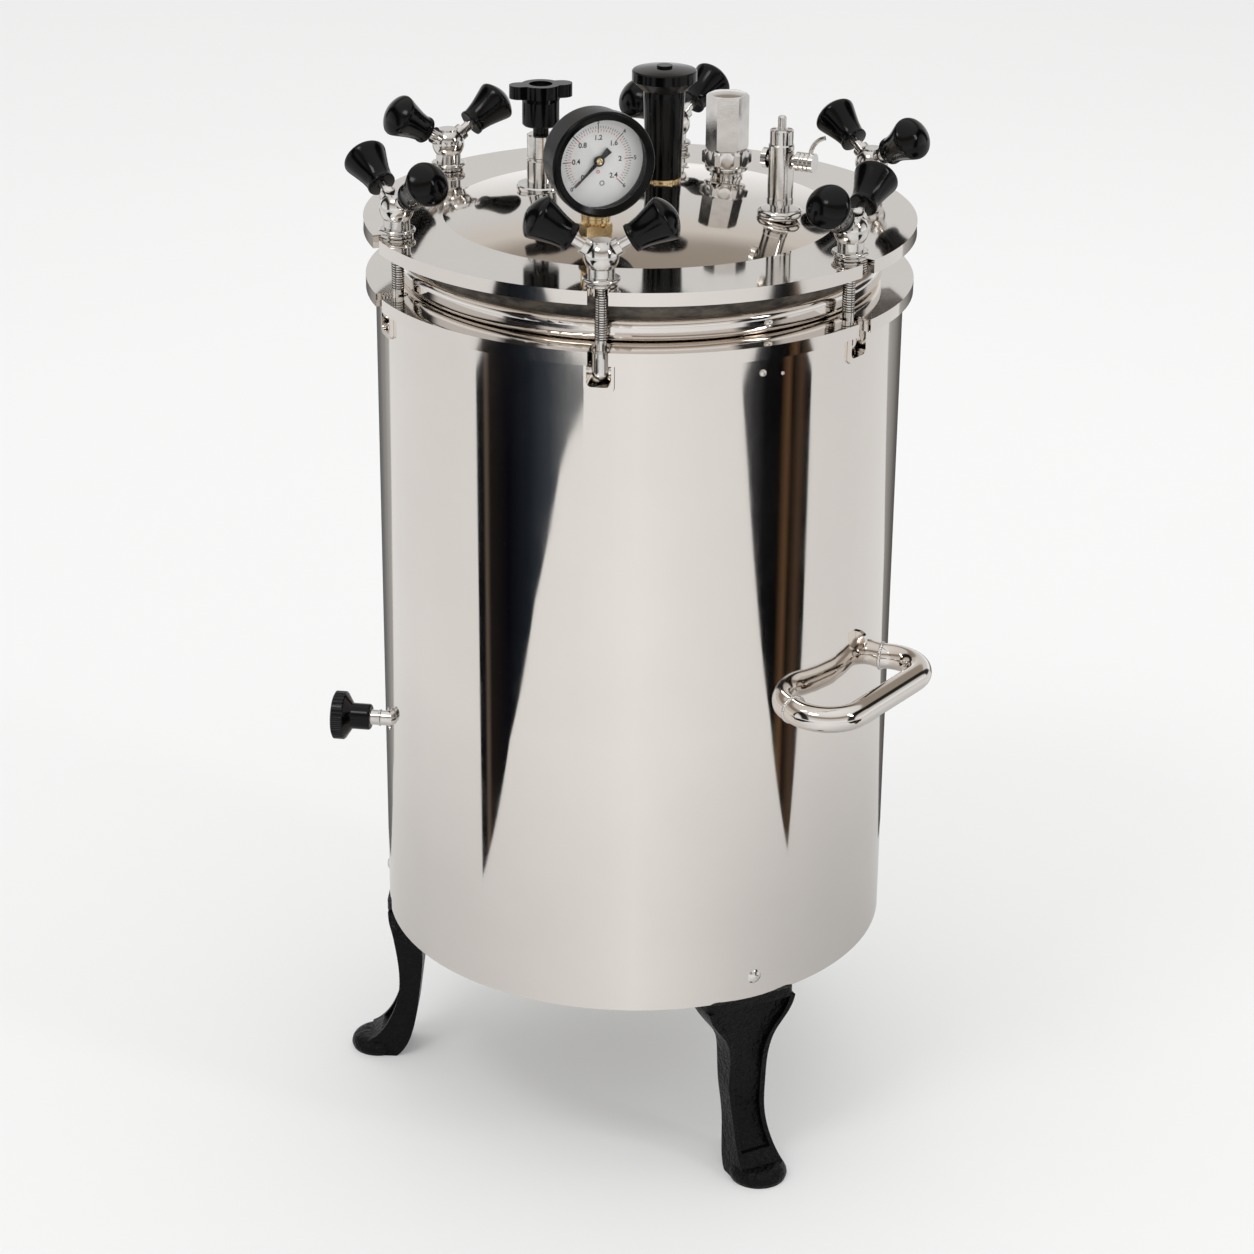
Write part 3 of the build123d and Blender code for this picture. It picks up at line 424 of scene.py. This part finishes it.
def turnedMesh(name, profile, segments, place, flats=None):
    # a closed turned shape about Z from (radius, height) points, both ends on the axis; with flats
    # given, six flats that far apart are cut into it
    body = bmesh.new()
    rings = []
    for radius, height in profile:
        if radius == 0:
            rings.append([body.verts.new((0, 0, height))] * segments)
        else:
            ring = []
            for i in range(segments):
                a = 2 * pi * i / segments
                reach = min(radius, flats / 2 / cos(a % (pi / 3) - pi / 6)) if flats else radius
                ring.append(body.verts.new((reach * cos(a), reach * sin(a), height)))
            rings.append(ring)
    for lower, upper in zip(rings, rings[1:]):
        for i in range(segments):
            j = (i + 1) % segments
            corners = list(dict.fromkeys((lower[i], lower[j], upper[j], upper[i])))
            body.faces.new(corners).smooth = True
    bmesh.ops.recalc_face_normals(body, faces=body.faces)
    mesh = bpy.data.meshes.new(name)
    body.to_mesh(mesh)
    body.free()
    mesh.transform(place)
    return mesh


def wireMesh(name, points, thickness):
    # a round wire along a closed loop of points
    curve = bpy.data.curves.new(name, "CURVE")
    curve.dimensions, curve.bevel_depth = "3D", thickness
    curve.bevel_resolution = smoothness["wire"]
    spline = curve.splines.new("POLY")
    spline.points.add(len(points) - 1)
    for target, point in zip(spline.points, points):
        target.co = (*point, 1)
    spline.use_cyclic_u = True
    return evaluatedMesh(bpy.data.objects.new(name, curve))


def textMesh(name, words, size, place):
    # numerals stand barely proud of the dial, made bolder by a share of their size
    curve = bpy.data.curves.new(name, "FONT")
    curve.body, curve.size = words, size
    curve.extrude, curve.offset = 0.03 * mm, size * 0.02
    curve.align_x = curve.align_y = "CENTER"
    mesh = evaluatedMesh(bpy.data.objects.new(name, curve))
    mesh.transform(place)
    return mesh


# Geometry Nodes: a tree is built once, and each piece runs it with its own values

def startTree(name, sockets):
    tree = bpy.data.node_groups.new(name, "GeometryNodeTree")
    for label, kind in sockets.items():
        tree.interface.new_socket(label, in_out="INPUT", socket_type="NodeSocket" + kind)
    tree.interface.new_socket("Material", in_out="INPUT", socket_type="NodeSocketMaterial")
    tree.interface.new_socket("Geometry", in_out="OUTPUT", socket_type="NodeSocketGeometry")
    return tree, tree.nodes.new("NodeGroupInput").outputs


def endTree(tree, given, geometry):
    realize = tree.nodes.new("GeometryNodeRealizeInstances")
    setMaterial = tree.nodes.new("GeometryNodeSetMaterial")
    result = tree.nodes.new("NodeGroupOutput")
    tree.links.new(geometry, realize.inputs["Geometry"])
    tree.links.new(realize.outputs["Geometry"], setMaterial.inputs["Geometry"])
    tree.links.new(given["Material"], setMaterial.inputs["Material"])
    tree.links.new(setMaterial.outputs["Geometry"], result.inputs["Geometry"])
    return tree


def mathNode(tree, operation, first, second):
    node = addNode(tree, "ShaderNodeMath", {"operation": operation})
    for socket, value in zip(node.inputs, (first, second)):
        if isinstance(value, (int, float)):
            socket.default_value = value
        else:
            tree.links.new(value, socket)
    return node.outputs[0]


def threadTree():
    # a thin ridge wound round a rod
    tree, given = startTree("threadTree", {"Turns": "Float", "Radius": "Float", "Height": "Float",
                                           "Ridge": "Float"})
    spiral = addNode(tree, "GeometryNodeCurveSpiral", Resolution=smoothness["threadTurn"])
    ridge = addNode(tree, "GeometryNodeCurvePrimitiveCircle", Resolution=smoothness["threadRidge"])
    sweep = tree.nodes.new("GeometryNodeCurveToMesh")
    sweep.inputs["Fill Caps"].default_value = True
    tree.links.new(given["Turns"], spiral.inputs["Rotations"])
    tree.links.new(given["Radius"], spiral.inputs["Start Radius"])
    tree.links.new(given["Radius"], spiral.inputs["End Radius"])
    tree.links.new(given["Height"], spiral.inputs["Height"])
    tree.links.new(given["Ridge"], ridge.inputs["Radius"])
    tree.links.new(spiral.outputs["Curve"], sweep.inputs["Curve"])
    tree.links.new(ridge.outputs["Curve"], sweep.inputs["Profile Curve"])
    return endTree(tree, given, sweep.outputs["Mesh"])


def tickTree():
    # flat bars on an arc, each pointing at its middle
    tree, given = startTree("tickTree", {"Count": "Int", "First": "Float", "Step": "Float", "Radius": "Float",
                                         "Length": "Float", "Width": "Float", "Thickness": "Float"})
    index = tree.nodes.new("GeometryNodeInputIndex").outputs["Index"]
    angle = mathNode(tree, "ADD", mathNode(tree, "MULTIPLY", index, given["Step"]), given["First"])
    across = mathNode(tree, "MULTIPLY", mathNode(tree, "COSINE", angle, 0), given["Radius"])
    upward = mathNode(tree, "MULTIPLY", mathNode(tree, "SINE", angle, 0), given["Radius"])
    spot = tree.nodes.new("ShaderNodeCombineXYZ")
    turn = tree.nodes.new("ShaderNodeCombineXYZ")
    size = tree.nodes.new("ShaderNodeCombineXYZ")
    euler = tree.nodes.new("FunctionNodeEulerToRotation")
    points = tree.nodes.new("GeometryNodePoints")
    bar = tree.nodes.new("GeometryNodeMeshCube")
    spread = tree.nodes.new("GeometryNodeInstanceOnPoints")
    links = [(across, spot.inputs["X"]), (upward, spot.inputs["Y"]), (angle, turn.inputs["Z"]),
             (given["Length"], size.inputs["X"]), (given["Width"], size.inputs["Y"]),
             (given["Thickness"], size.inputs["Z"]), (turn.outputs["Vector"], euler.inputs["Euler"]),
             (given["Count"], points.inputs["Count"]), (spot.outputs["Vector"], points.inputs["Position"]),
             (size.outputs["Vector"], bar.inputs["Size"]), (points.outputs[0], spread.inputs["Points"]),
             (bar.outputs["Mesh"], spread.inputs["Instance"]),
             (euler.outputs["Rotation"], spread.inputs["Rotation"])]
    for source, target in links:
        tree.links.new(source, target)
    return endTree(tree, given, spread.outputs["Instances"])


def grownMesh(name, tree, values, material, place):
    source = bpy.data.objects.new(name, bpy.data.meshes.new(name + "Start"))
    modifier = source.modifiers.new("grow", "NODES")
    modifier.node_group = tree
    sockets = {item.name: item.identifier for item in tree.interface.items_tree if item.in_out == "INPUT"}
    for label, value in values.items():
        modifier[sockets[label]] = value
    modifier[sockets["Material"]] = material
    mesh = evaluatedMesh(source)
    mesh.transform(place)
    return mesh


threadMaker = threadTree()
tickMaker = tickTree()


# Threads on the six swing bolts, the gauge's union and the relief valve's neck

threads = {
    "pitch": 1.8 * mm,
    "ridge": 0.5 * mm,
    "clamps": 6,
    "rodRadius": 4.35 * mm,
    "rodBottom": 30 * mm,  # from the foot of the bolt's eye
    "rodTop": 2 * mm,
    "fittings": {  # bottom from the foot of the fitting
        "union": {"node": "gauge_union", "slot": "brass",
                  "radius": 10.7 * mm, "bottom": 16.5 * mm, "height": 5 * mm},
        "neck": {"node": "relief_valve_nipple", "slot": "turned_steel",
                 "radius": 11.9 * mm, "bottom": 4.6 * mm, "height": 4.2 * mm},
    },
}


def thread(name, middle, radius, bottom, height, material):
    values = {"Turns": height / threads["pitch"], "Radius": radius, "Height": height,
              "Ridge": threads["ridge"]}
    place = Matrix.Translation((middle.x, middle.y, bottom))
    return grownMesh(name, threadMaker, values, material, place)


def makeThreads(v):
    for number in range(1, v["clamps"] + 1):
        node = f"swing_bolt_{number}"
        low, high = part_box(node)
        bottom = low.z + v["rodBottom"]
        height = high.z - v["rodTop"] - bottom
        mesh = thread(f"boltThread{number}", (low + high) / 2, v["rodRadius"], bottom, height, darkThreadSteel)
        placePiece(f"boltThread{number}", mesh, node)
    for label, fitting in v["fittings"].items():
        node, slot = fitting["node"], fitting["slot"]
        low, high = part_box(node)
        mesh = thread(label + "Thread", (low + high) / 2, fitting["radius"], low.z + fitting["bottom"],
                      fitting["height"], materials[slot])
        placePiece(label + "Thread", mesh, node)


makeThreads(threads)
print("threads made")


# Gauge: printed dial and the needle's hub cap

gauge = {
    "turn": radians(20),
    "zero": radians(225),
    "sweep": radians(270),
    "printOut": 0.55 * mm,  # from the middle of the dial to its face
    "hubOut": 3.35 * mm,
    "printHeight": 0.04 * mm,
    "ticks": {  # how many over the sweep, where, how long and how wide
        "outerTicks": (61, 24.6 * mm, 1.8 * mm, 0.34 * mm),
        "outerMajors": (7, 25.1 * mm, 3.8 * mm, 0.65 * mm),
        "innerTicks": (49, 22.2 * mm, 1.6 * mm, 0.42 * mm),
        "innerMajors": (7, 21.7 * mm, 3.0 * mm, 0.6 * mm),
    },
    "numbers": {  # what, where and how high
        "outerNumber": (("0", "1", "2", "3", "4", "5", "6"), 28.4 * mm, 4.2 * mm),
        "innerNumber": (("0", "0.4", "0.8", "1.2", "1.6", "2", "2.4"), 16.8 * mm, 5.2 * mm),
    },
    "ringMark": {"place": (3.0 * mm, -17.0 * mm, 0), "radius": 1.6 * mm, "wire": 0.28 * mm, "points": 32},
    "unitMark": {"words": "o", "place": (0, -8.0 * mm, 0), "size": 5 * mm},
    "hub": [(0, 0), (2.7, 0), (2.7, 0.9), (2.3, 1.3), (0, 1.5)],
    "hubRing": [(0, 0), (3.9, 0), (3.9, 0.6), (3.4, 0.9), (0, 0.9)],
    "hubSegments": 48,
}


def gaugeFrame(node, toFront):
    # local X across the dial, Y up and Z out of its face
    low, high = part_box(node)
    turn = gauge["turn"]
    across, out = Vector((cos(turn), sin(turn), 0)), Vector((sin(turn), -cos(turn), 0))
    place = Matrix((across, Vector((0, 0, 1)), out)).transposed().to_4x4()
    return Matrix.Translation((low + high) / 2 + out * toFront) @ place


def tickRow(name, v, material, face):
    count, radius, length, width = v["ticks"][name]
    values = {"Count": count, "First": v["zero"], "Step": -v["sweep"] / (count - 1), "Radius": radius,
              "Length": length, "Width": width, "Thickness": v["printHeight"]}
    return grownMesh(name, tickMaker, values, material, face)


def numberRow(name, v, face):
    numbers, radius, size = v["numbers"][name]
    row = []
    for i, words in enumerate(numbers):
        angle = v["zero"] - v["sweep"] * i / (len(numbers) - 1)
        spot = Matrix.Translation((radius * cos(angle), radius * sin(angle), 0))
        row.append(textMesh(name, words, size, face @ spot))
    return row


def makeGauge(v):
    face = gaugeFrame("gauge_dial", v["printOut"])
    black = [tickRow("outerTicks", v, blackInk, face), tickRow("outerMajors", v, blackInk, face)]
    black += numberRow("outerNumber", v, face) + numberRow("innerNumber", v, face)
    mark = v["ringMark"]
    spot, radius = face @ Matrix.Translation(mark["place"]), mark["radius"]
    turns = [2 * pi * i / mark["points"] for i in range(mark["points"])]
    ring = [spot @ Vector((radius * cos(a), radius * sin(a), 0)) for a in turns]
    black.append(wireMesh("dialMark", ring, mark["wire"]))
    unit = v["unitMark"]
    red = [
        tickRow("innerTicks", v, redInk, face),
        tickRow("innerMajors", v, redInk, face),
        textMesh("unitMark", unit["words"], unit["size"], face @ Matrix.Translation(unit["place"])),
    ]
    placePiece("dialPrintBlack", joinMeshes("dialPrintBlack", black, blackInk), "gauge_dial")
    placePiece("dialPrintRed", joinMeshes("dialPrintRed", red, redInk), "gauge_dial")

    hubPlace = gaugeFrame("gauge_dial", v["hubOut"])
    for name, slot in (("hubRing", "black_enamel"), ("hub", "brass")):
        mesh = turnedMesh(name, scaled(v[name]), v["hubSegments"], hubPlace)
        mesh.materials.append(materials[slot])
        placePiece("needle" + name[0].upper() + name[1:], mesh, "gauge_needle")


makeGauge(gauge)
print("gauge printed")


# The wing nuts' tapered knobs in the fuller form that the photo shows, collars and a nut on the valves

knobs = {
    "ball": 754.3 * mm,  # middle of each nut's ball
    "tilt": 32,  # degrees above level
    "headings": (0, 64, -52, 46, 34, -55),  # of each nut's arms, in degrees
    "segments": 72,
    "profile": [(0, 24), (10.0, 24), (10.6, 24.2), (10.8, 24.8), (10.8, 26.4), (10.5, 27.0), (10.3, 27.8),
                (10.7, 31), (11.6, 35.5), (12.9, 40), (14.4, 44.7), (15.6, 48.3), (16.3, 50.5), (16.65, 52),
                (16.7, 53), (16.3, 54.1), (15.5, 55.1), (14.2, 56.2), (12.4, 57.5), (10, 58.9), (7, 60.3),
                (3.5, 61.4), (0, 61.9)],
}

# heights are from the top of the node's box where corner is 1, from its foot where it is 0
sleeves = {
    "ventSleeve": {"node": "vent_knob", "corner": 1, "slot": "black_plastic", "profile": [
        (0, -9), (14.2, -9), (14.2, -30.6), (13.2, -31.8), (0, -31.8)]},
    "valveSkirt": {"node": "safety_valve_body", "corner": 0, "slot": "black_plastic", "profile": [
        (0, 4), (14.2, 4), (14.2, -5.4), (13.5, -6.2), (0, -6.2)]},
    "reliefNut": {"node": "relief_valve_body", "corner": 1, "slot": "turned_steel", "flats": 33.6 * mm,
                  "profile": [(0, -58), (15.2, -58), (16.6, -57.2), (19.5, -55.4), (19.5, -47),
                              (16.6, -44.9), (15.0, -44.2), (0, -44.2)]},
}
sleeveShape = {"segments": 96, "sharpFrom": radians(25)}


def makeKnobs(v):
    for i, heading in enumerate(v["headings"]):
        node = f"wing_knobs_{i + 1}"
        low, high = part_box(node)
        spot = Matrix.Translation(((low.x + high.x) / 2, (low.y + high.y) / 2, v["ball"]))
        pair = []
        for side in (0, 180):
            turn = Matrix.Rotation(radians(heading + side), 4, "Z")
            lean = Matrix.Rotation(radians(90 - v["tilt"]), 4, "Y")
            pair.append(turnedMesh("wingKnob", scaled(v["profile"]), v["segments"], spot @ turn @ lean))
        mesh = joinMeshes(f"wingKnobs{i + 1}", pair, materials["black_plastic"])
        piece = placePiece(f"wingKnobs{i + 1}", mesh, node)
        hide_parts(node)


def makeSleeves(v):
    for name, sleeve in v.items():
        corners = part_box(sleeve["node"])
        middle = (corners[0] + corners[1]) / 2
        place = Matrix.Translation((middle.x, middle.y, corners[sleeve["corner"]].z))
        profile = scaled(sleeve["profile"])
        mesh = turnedMesh(name, profile, sleeveShape["segments"], place, sleeve.get("flats"))
        mesh.set_sharp_from_angle(angle=sleeveShape["sharpFrom"])
        mesh.materials.append(materials[sleeve["slot"]])
        placePiece(name, mesh, sleeve["node"])


makeKnobs(knobs)
makeSleeves(sleeves)
print("knobs, collars and relief nut made")


# Weld seams where the handles' pipe meets the jacket, and the small rivets

handles = {
    "headings": (54.6, -136.0),  # degrees from the front
    "height": 393 * mm,
    "drumRadius": 201.6 * mm,
    "bendMiddle": 206.6 * mm,
    "halfRun": 40 * mm,
    "bend": 28 * mm,
    "pipeRadius": 10 * mm,
    "seam": 1.3 * mm,
    "ripple": 0.25 * mm,
    "points": 120,
    "ripplePoints": 4,  # how many points one wave of the bead takes
    "halvings": 30,
}

rivets = {
    "jacketRivet": {"radius": 201.6 * mm, "angle": 26.2, "height": 665.6 * mm, "size": 2.6 * mm},
    "jacketMark": {"radius": 201.6 * mm, "angle": 30.9, "height": 663 * mm, "size": 1.3 * mm},
    "beadNub": {"radius": 185.0 * mm, "angle": 30.2, "height": 696 * mm, "size": 3.4 * mm},
}
# a rivet's head by shares of its size, and its dome's angles
rivetShape = {"buried": 0.3, "side": 0.1, "dome": 0.5, "domeAngles": (0.4, 0.8, 1.2), "segments": 32}


def seamPoint(v, side, turn):
    # where one line along the bent pipe reaches the drum, found by halving its angle
    reach = v["bend"] + v["pipeRadius"] * cos(turn)
    low, high = pi / 2, pi
    for _ in range(v["halvings"]):
        bend = (low + high) / 2
        x, y = v["bendMiddle"] + reach * cos(bend), v["halfRun"] + reach * sin(bend)
        if sqrt(x * x + y * y) > v["drumRadius"]:
            low = bend
        else:
            high = bend
    return Vector((x, side * y, v["pipeRadius"] * sin(turn)))


def makeSeams(v):
    steps = v["points"]
    lift = Matrix.Translation(axis + Vector((0, 0, v["height"])))
    for heading, node in zip(v["headings"], ("handle_right", "handle_left")):
        spin = lift @ Matrix.Rotation(radians(heading - 90), 4, "Z")
        seams = []
        for side in (1, -1):
            loop = []
            for i in range(steps):
                point = seamPoint(v, side, 2 * pi * i / steps)
                ripple = v["ripple"] * sin(2 * pi * i / v["ripplePoints"])
                point += Vector((point.x, point.y, 0)).normalized() * ripple
                loop.append(spin @ point)
            seams.append(wireMesh("handleSeam", loop, v["seam"]))
        mesh = joinMeshes("handleSeam", seams, materials["turned_steel"])
        placePiece(node + "Seams", mesh, node)


def makeRivets(v):
    buried, side, dome = rivetShape["buried"], rivetShape["side"], rivetShape["dome"]
    for name, rivet in v.items():
        size = rivet["size"]
        profile = [(0, -size * buried), (size, -size * buried), (size, size * side)]
        profile += [(size * cos(a), size * (side + dome * sin(a))) for a in rivetShape["domeAngles"]]
        profile.append((0, size * (side + dome)))
        spot = onCircle(rivet["radius"], rivet["angle"], rivet["height"])
        outward = Matrix.Rotation(radians(rivet["angle"] - 90), 4, "Z") @ Matrix.Rotation(pi / 2, 4, "Y")
        mesh = turnedMesh(name, profile, rivetShape["segments"], Matrix.Translation(spot) @ outward)
        mesh.materials.append(materials["turned_steel"])
        placePiece(name, mesh, "outer_jacket")


makeSeams(handles)
makeRivets(rivets)
print("seams and rivets made")


# Studio: pale floor, soft light, and dark cards that only reflections see

studio = {
    "floorSize": 30.0,
    "floorShade": 0.765,
    "floorGlow": 0.147,  # keeps the shadow as light as a lit paper sweep
    "floorMottle": 0.7,
    "floorDim": 0.985,
    "matt": 0.9,
    "worldTint": (1.0, 0.998, 0.993, 1),
    "worldStrength": 0.90,
    "cardHeight": 0.001,
    # painted shade in the steel's reflection of the floor, by distance and by side
    "paintedShadeNear": [(0.3, 1.0), (0.6, 0.85), (0.98, 0.5), (1.0, 0.48)],  # by metres from the vessel's axis
    "paintedShadeSide": [(0.0, 0.34), (0.5, 0.08), (1.0, 0.46)],  # from its left to its right
}

# painted reflections: floor areas seen only in the steel, mirrored as the dark bands of the drum and its
# darker sides, as (x, y) from the vessel's axis
cards = {
    "cardLeft": [(-0.575, -0.300), (-0.770, -0.599), (-0.915, -1.017), (-0.953, -1.536),
                 (-0.821, -2.057), (-2.400, -2.057), (-2.024, -0.700)],
    "cardRight": [(0.640, -0.305), (0.857, -0.560), (1.053, -0.864), (1.292, -1.250),
                  (1.452, -1.567), (2.600, -1.567), (2.085, -0.501), (1.126, -0.343)],
    "cardBackLeft": [(-0.320, 0.330), (-0.530, 0.470), (-0.830, 0.790), (-1.330, 1.330), (-2.400, 2.500),
                     (-0.300, 2.500), (-0.200, 0.500)],
    "cardBackRight": [(0.330, 0.380), (0.560, 0.620), (0.860, 0.960), (1.450, 1.420), (2.500, 2.500),
                      (0.300, 2.500), (0.200, 0.500)],
}

# painted reflection: shades across each card by the heading in degrees from the middle of its mirror, first
# to last
cardShades = {
    "cardLeft": {"middle": (-0.115, -0.166), "span": (-80, -26), "stops": [
        (0.0, (0.02, 0.018, 0.016)), (0.08, (0.004, 0.004, 0.005)), (0.17, (0.006, 0.006, 0.008)),
        (0.20, (0.11, 0.085, 0.065)), (0.24, (0.012, 0.010, 0.009)), (0.42, (0.003, 0.003, 0.005)),
        (0.62, (0.010, 0.013, 0.018)), (0.80, (0.035, 0.042, 0.052)), (1.0, (0.13, 0.14, 0.15))]},
    "cardRight": {"middle": (0.105, -0.172), "span": (42, 92), "stops": [
        (0.0, (0.10, 0.10, 0.105)), (0.16, (0.030, 0.030, 0.034)), (0.28, (0.004, 0.004, 0.005)),
        (0.44, (0.003, 0.003, 0.003)), (0.52, (0.10, 0.055, 0.028)), (0.57, (0.006, 0.005, 0.004)),
        (0.66, (0.060, 0.036, 0.022)), (0.74, (0.005, 0.005, 0.005)), (1.0, (0.012, 0.012, 0.014))]},
    "cardBackLeft": {"middle": (-0.19, -0.08), "span": (-180, -130), "stops": [
        (0.0, (0.10, 0.10, 0.10)), (0.4, (0.15, 0.15, 0.15)), (0.75, (0.40, 0.39, 0.38)),
        (1.0, (0.82, 0.81, 0.80))]},
    "cardBackRight": {"middle": (0.19, -0.08), "span": (130, 180), "stops": [
        (0.0, (0.80, 0.79, 0.78)), (0.25, (0.36, 0.35, 0.34)), (0.6, (0.12, 0.115, 0.11)),
        (1.0, (0.05, 0.045, 0.04))]},
}

softboxes = {
    "keyLight": {"place": (-1.3, -1.5, 3.2), "aim": (0, 0, 0.5), "size": (1.0, 0.7), "watts": 14,
                 "mirrored": True},
    "fillLight": {"place": (2.4, -1.4, 2.4), "aim": (0, 0, 0.5), "size": (0.35, 1.1), "watts": 9,
                  "mirrored": True},
    "rimLight": {"place": (0.4, 2.4, 2.8), "aim": (0, 0, 0.6), "size": (2.4, 1.2), "watts": 10,
                 "mirrored": False},
}

# painted reflection: what the steel mirrors from above the floor, seen by glossy rays only: shades by height
# and by distance to the side
mirrored = {
    "heights": [(0.50, 0.98), (0.58, 0.80), (0.62, 0.675), (0.66, 0.66), (0.715, (0.64, 0.60, 0.555)),
                (0.74, (0.34, 0.30, 0.26)), (0.80, (0.30, 0.26, 0.22)), (0.83, (0.34, 0.30, 0.27)),
                (0.86, 0.74), (1.0, 0.90)],
    "sides": [(0.0, 1.0), (0.66, 1.0), (0.72, 0.05), (0.86, 0.03), (0.90, 0.9), (1.0, 1.0)],
}


def flatPiece(name, points, height, material):
    mesh = bpy.data.meshes.new(name)
    mesh.from_pydata([(axis.x + x, axis.y + y, height) for x, y in points], [], [range(len(points))])
    mesh.materials.append(material)
    piece = bpy.data.objects.new(name, mesh)
    bpy.context.scene.collection.objects.link(piece)
    return piece


def cardMaterial(name, v):
    material, tree, shader = newMaterial(name)
    parts = tree.nodes.new("ShaderNodeSeparateXYZ")
    tree.links.new(objectCoordinates(tree), parts.inputs["Vector"])
    across = mathNode(tree, "SUBTRACT", parts.outputs["X"], v["middle"][0])
    toFront = mathNode(tree, "SUBTRACT", v["middle"][1], parts.outputs["Y"])
    heading = mathNode(tree, "ARCTAN2", across, toFront)
    first, last = (radians(a) for a in v["span"])
    share = mathNode(tree, "DIVIDE", mathNode(tree, "SUBTRACT", heading, first), last - first)
    tree.links.new(ramp(tree, share, v["stops"]), shader.inputs["Base Color"])
    shader.inputs["Roughness"].default_value = studio["matt"]
    shader.inputs["Specular IOR Level"].default_value = 0
    return material


def makeWorld():
    world = bpy.data.worlds.new("studioWorld")
    world.use_nodes = True
    tree = world.node_tree
    plain, output = tree.nodes["Background"], tree.nodes["World Output"]
    plain.inputs["Color"].default_value = studio["worldTint"]
    plain.inputs["Strength"].default_value = studio["worldStrength"]
    # painted reflection: glossy rays see a shaded sky of their own, all other rays the plain one
    mirroredSky = tree.nodes.new("ShaderNodeBackground")
    direction = tree.nodes.new("ShaderNodeTexCoord").outputs["Generated"]
    parts = tree.nodes.new("ShaderNodeSeparateXYZ")
    tree.links.new(direction, parts.inputs["Vector"])
    share = mathNode(tree, "MULTIPLY", mathNode(tree, "ADD", parts.outputs["Z"], 1), 0.5)
    sideways = mathNode(tree, "ABSOLUTE", parts.outputs["X"], 0)
    shades = addNode(tree, "ShaderNodeVectorMath", {"operation": "MULTIPLY"})
    tree.links.new(ramp(tree, share, mirrored["heights"]), shades.inputs[0])
    tree.links.new(ramp(tree, sideways, mirrored["sides"]), shades.inputs[1])
    tree.links.new(shades.outputs["Vector"], mirroredSky.inputs["Color"])
    choose = tree.nodes.new("ShaderNodeMixShader")
    tree.links.new(tree.nodes.new("ShaderNodeLightPath").outputs["Is Glossy Ray"], choose.inputs["Fac"])
    tree.links.new(plain.outputs["Background"], choose.inputs[1])
    tree.links.new(mirroredSky.outputs["Background"], choose.inputs[2])
    tree.links.new(choose.outputs["Shader"], output.inputs["Surface"])
    bpy.context.scene.world = world


def floorPaint():
    material, tree, shader = newMaterial("paleFloor")
    shade = studio["floorShade"]
    here = objectCoordinates(tree)
    mottle = noise(tree, here, studio["floorMottle"], 2)
    soft = ramp(tree, mottle, [(0.3, shade * studio["floorDim"]), (0.7, shade)])
    # painted shade in reflections only: in the steel the floor darkens towards the object, most of all beside
    # it
    length = addNode(tree, "ShaderNodeVectorMath", {"operation": "LENGTH"})
    parts = tree.nodes.new("ShaderNodeSeparateXYZ")
    tree.links.new(here, length.inputs[0])
    tree.links.new(here, parts.inputs["Vector"])
    away = length.outputs["Value"]
    near = ramp(tree, away, studio["paintedShadeNear"])
    across = mathNode(tree, "DIVIDE", parts.outputs["X"], away)
    side = mathNode(tree, "MULTIPLY", mathNode(tree, "ADD", across, 1), 0.5)
    amount = ramp(tree, side, studio["paintedShadeSide"])
    glossy = tree.nodes.new("ShaderNodeLightPath").outputs["Is Glossy Ray"]
    dark = mathNode(tree, "MULTIPLY", mathNode(tree, "MULTIPLY", near, amount), glossy)
    shades = addNode(tree, "ShaderNodeVectorMath", {"operation": "SCALE"})
    tree.links.new(soft, shades.inputs[0])
    tree.links.new(mathNode(tree, "SUBTRACT", 1, dark), shades.inputs["Scale"])
    tree.links.new(shades.outputs["Vector"], shader.inputs["Base Color"])
    tree.links.new(shades.outputs["Vector"], shader.inputs["Emission Color"])
    shader.inputs["Emission Strength"].default_value = studio["floorGlow"] / shade
    shader.inputs["Roughness"].default_value = studio["matt"]
    shader.inputs["Specular IOR Level"].default_value = 0
    return material


def makeLight(name, box):
    light = bpy.data.lights.new(name, "AREA")
    light.shape, light.energy = "RECTANGLE", box["watts"]
    light.size, light.size_y = box["size"]
    lamp = bpy.data.objects.new(name, light)
    lamp.location = axis + Vector(box["place"])
    aim = Vector(box["aim"]) - Vector(box["place"])
    lamp.rotation_euler = aim.to_track_quat("-Z", "Y").to_euler()
    lamp.visible_glossy = box["mirrored"]
    bpy.context.scene.collection.objects.link(lamp)


def makeStudio():
    half = studio["floorSize"] / 2
    flatPiece("floor", [(-half, -half), (half, -half), (half, half), (-half, half)], 0, floorPaint())
    for name, points in cards.items():
        card = flatPiece(name, points, studio["cardHeight"], cardMaterial(name, cardShades[name]))
        # the cards are painted reflections, seen by glossy rays only
        card.visible_camera = card.visible_diffuse = card.visible_shadow = False
        card.visible_transmission = card.visible_volume_scatter = False
    makeWorld()
    for name, box in softboxes.items():
        makeLight(name, box)


makeStudio()
print("studio made")

bpy.context.view_layer.update()
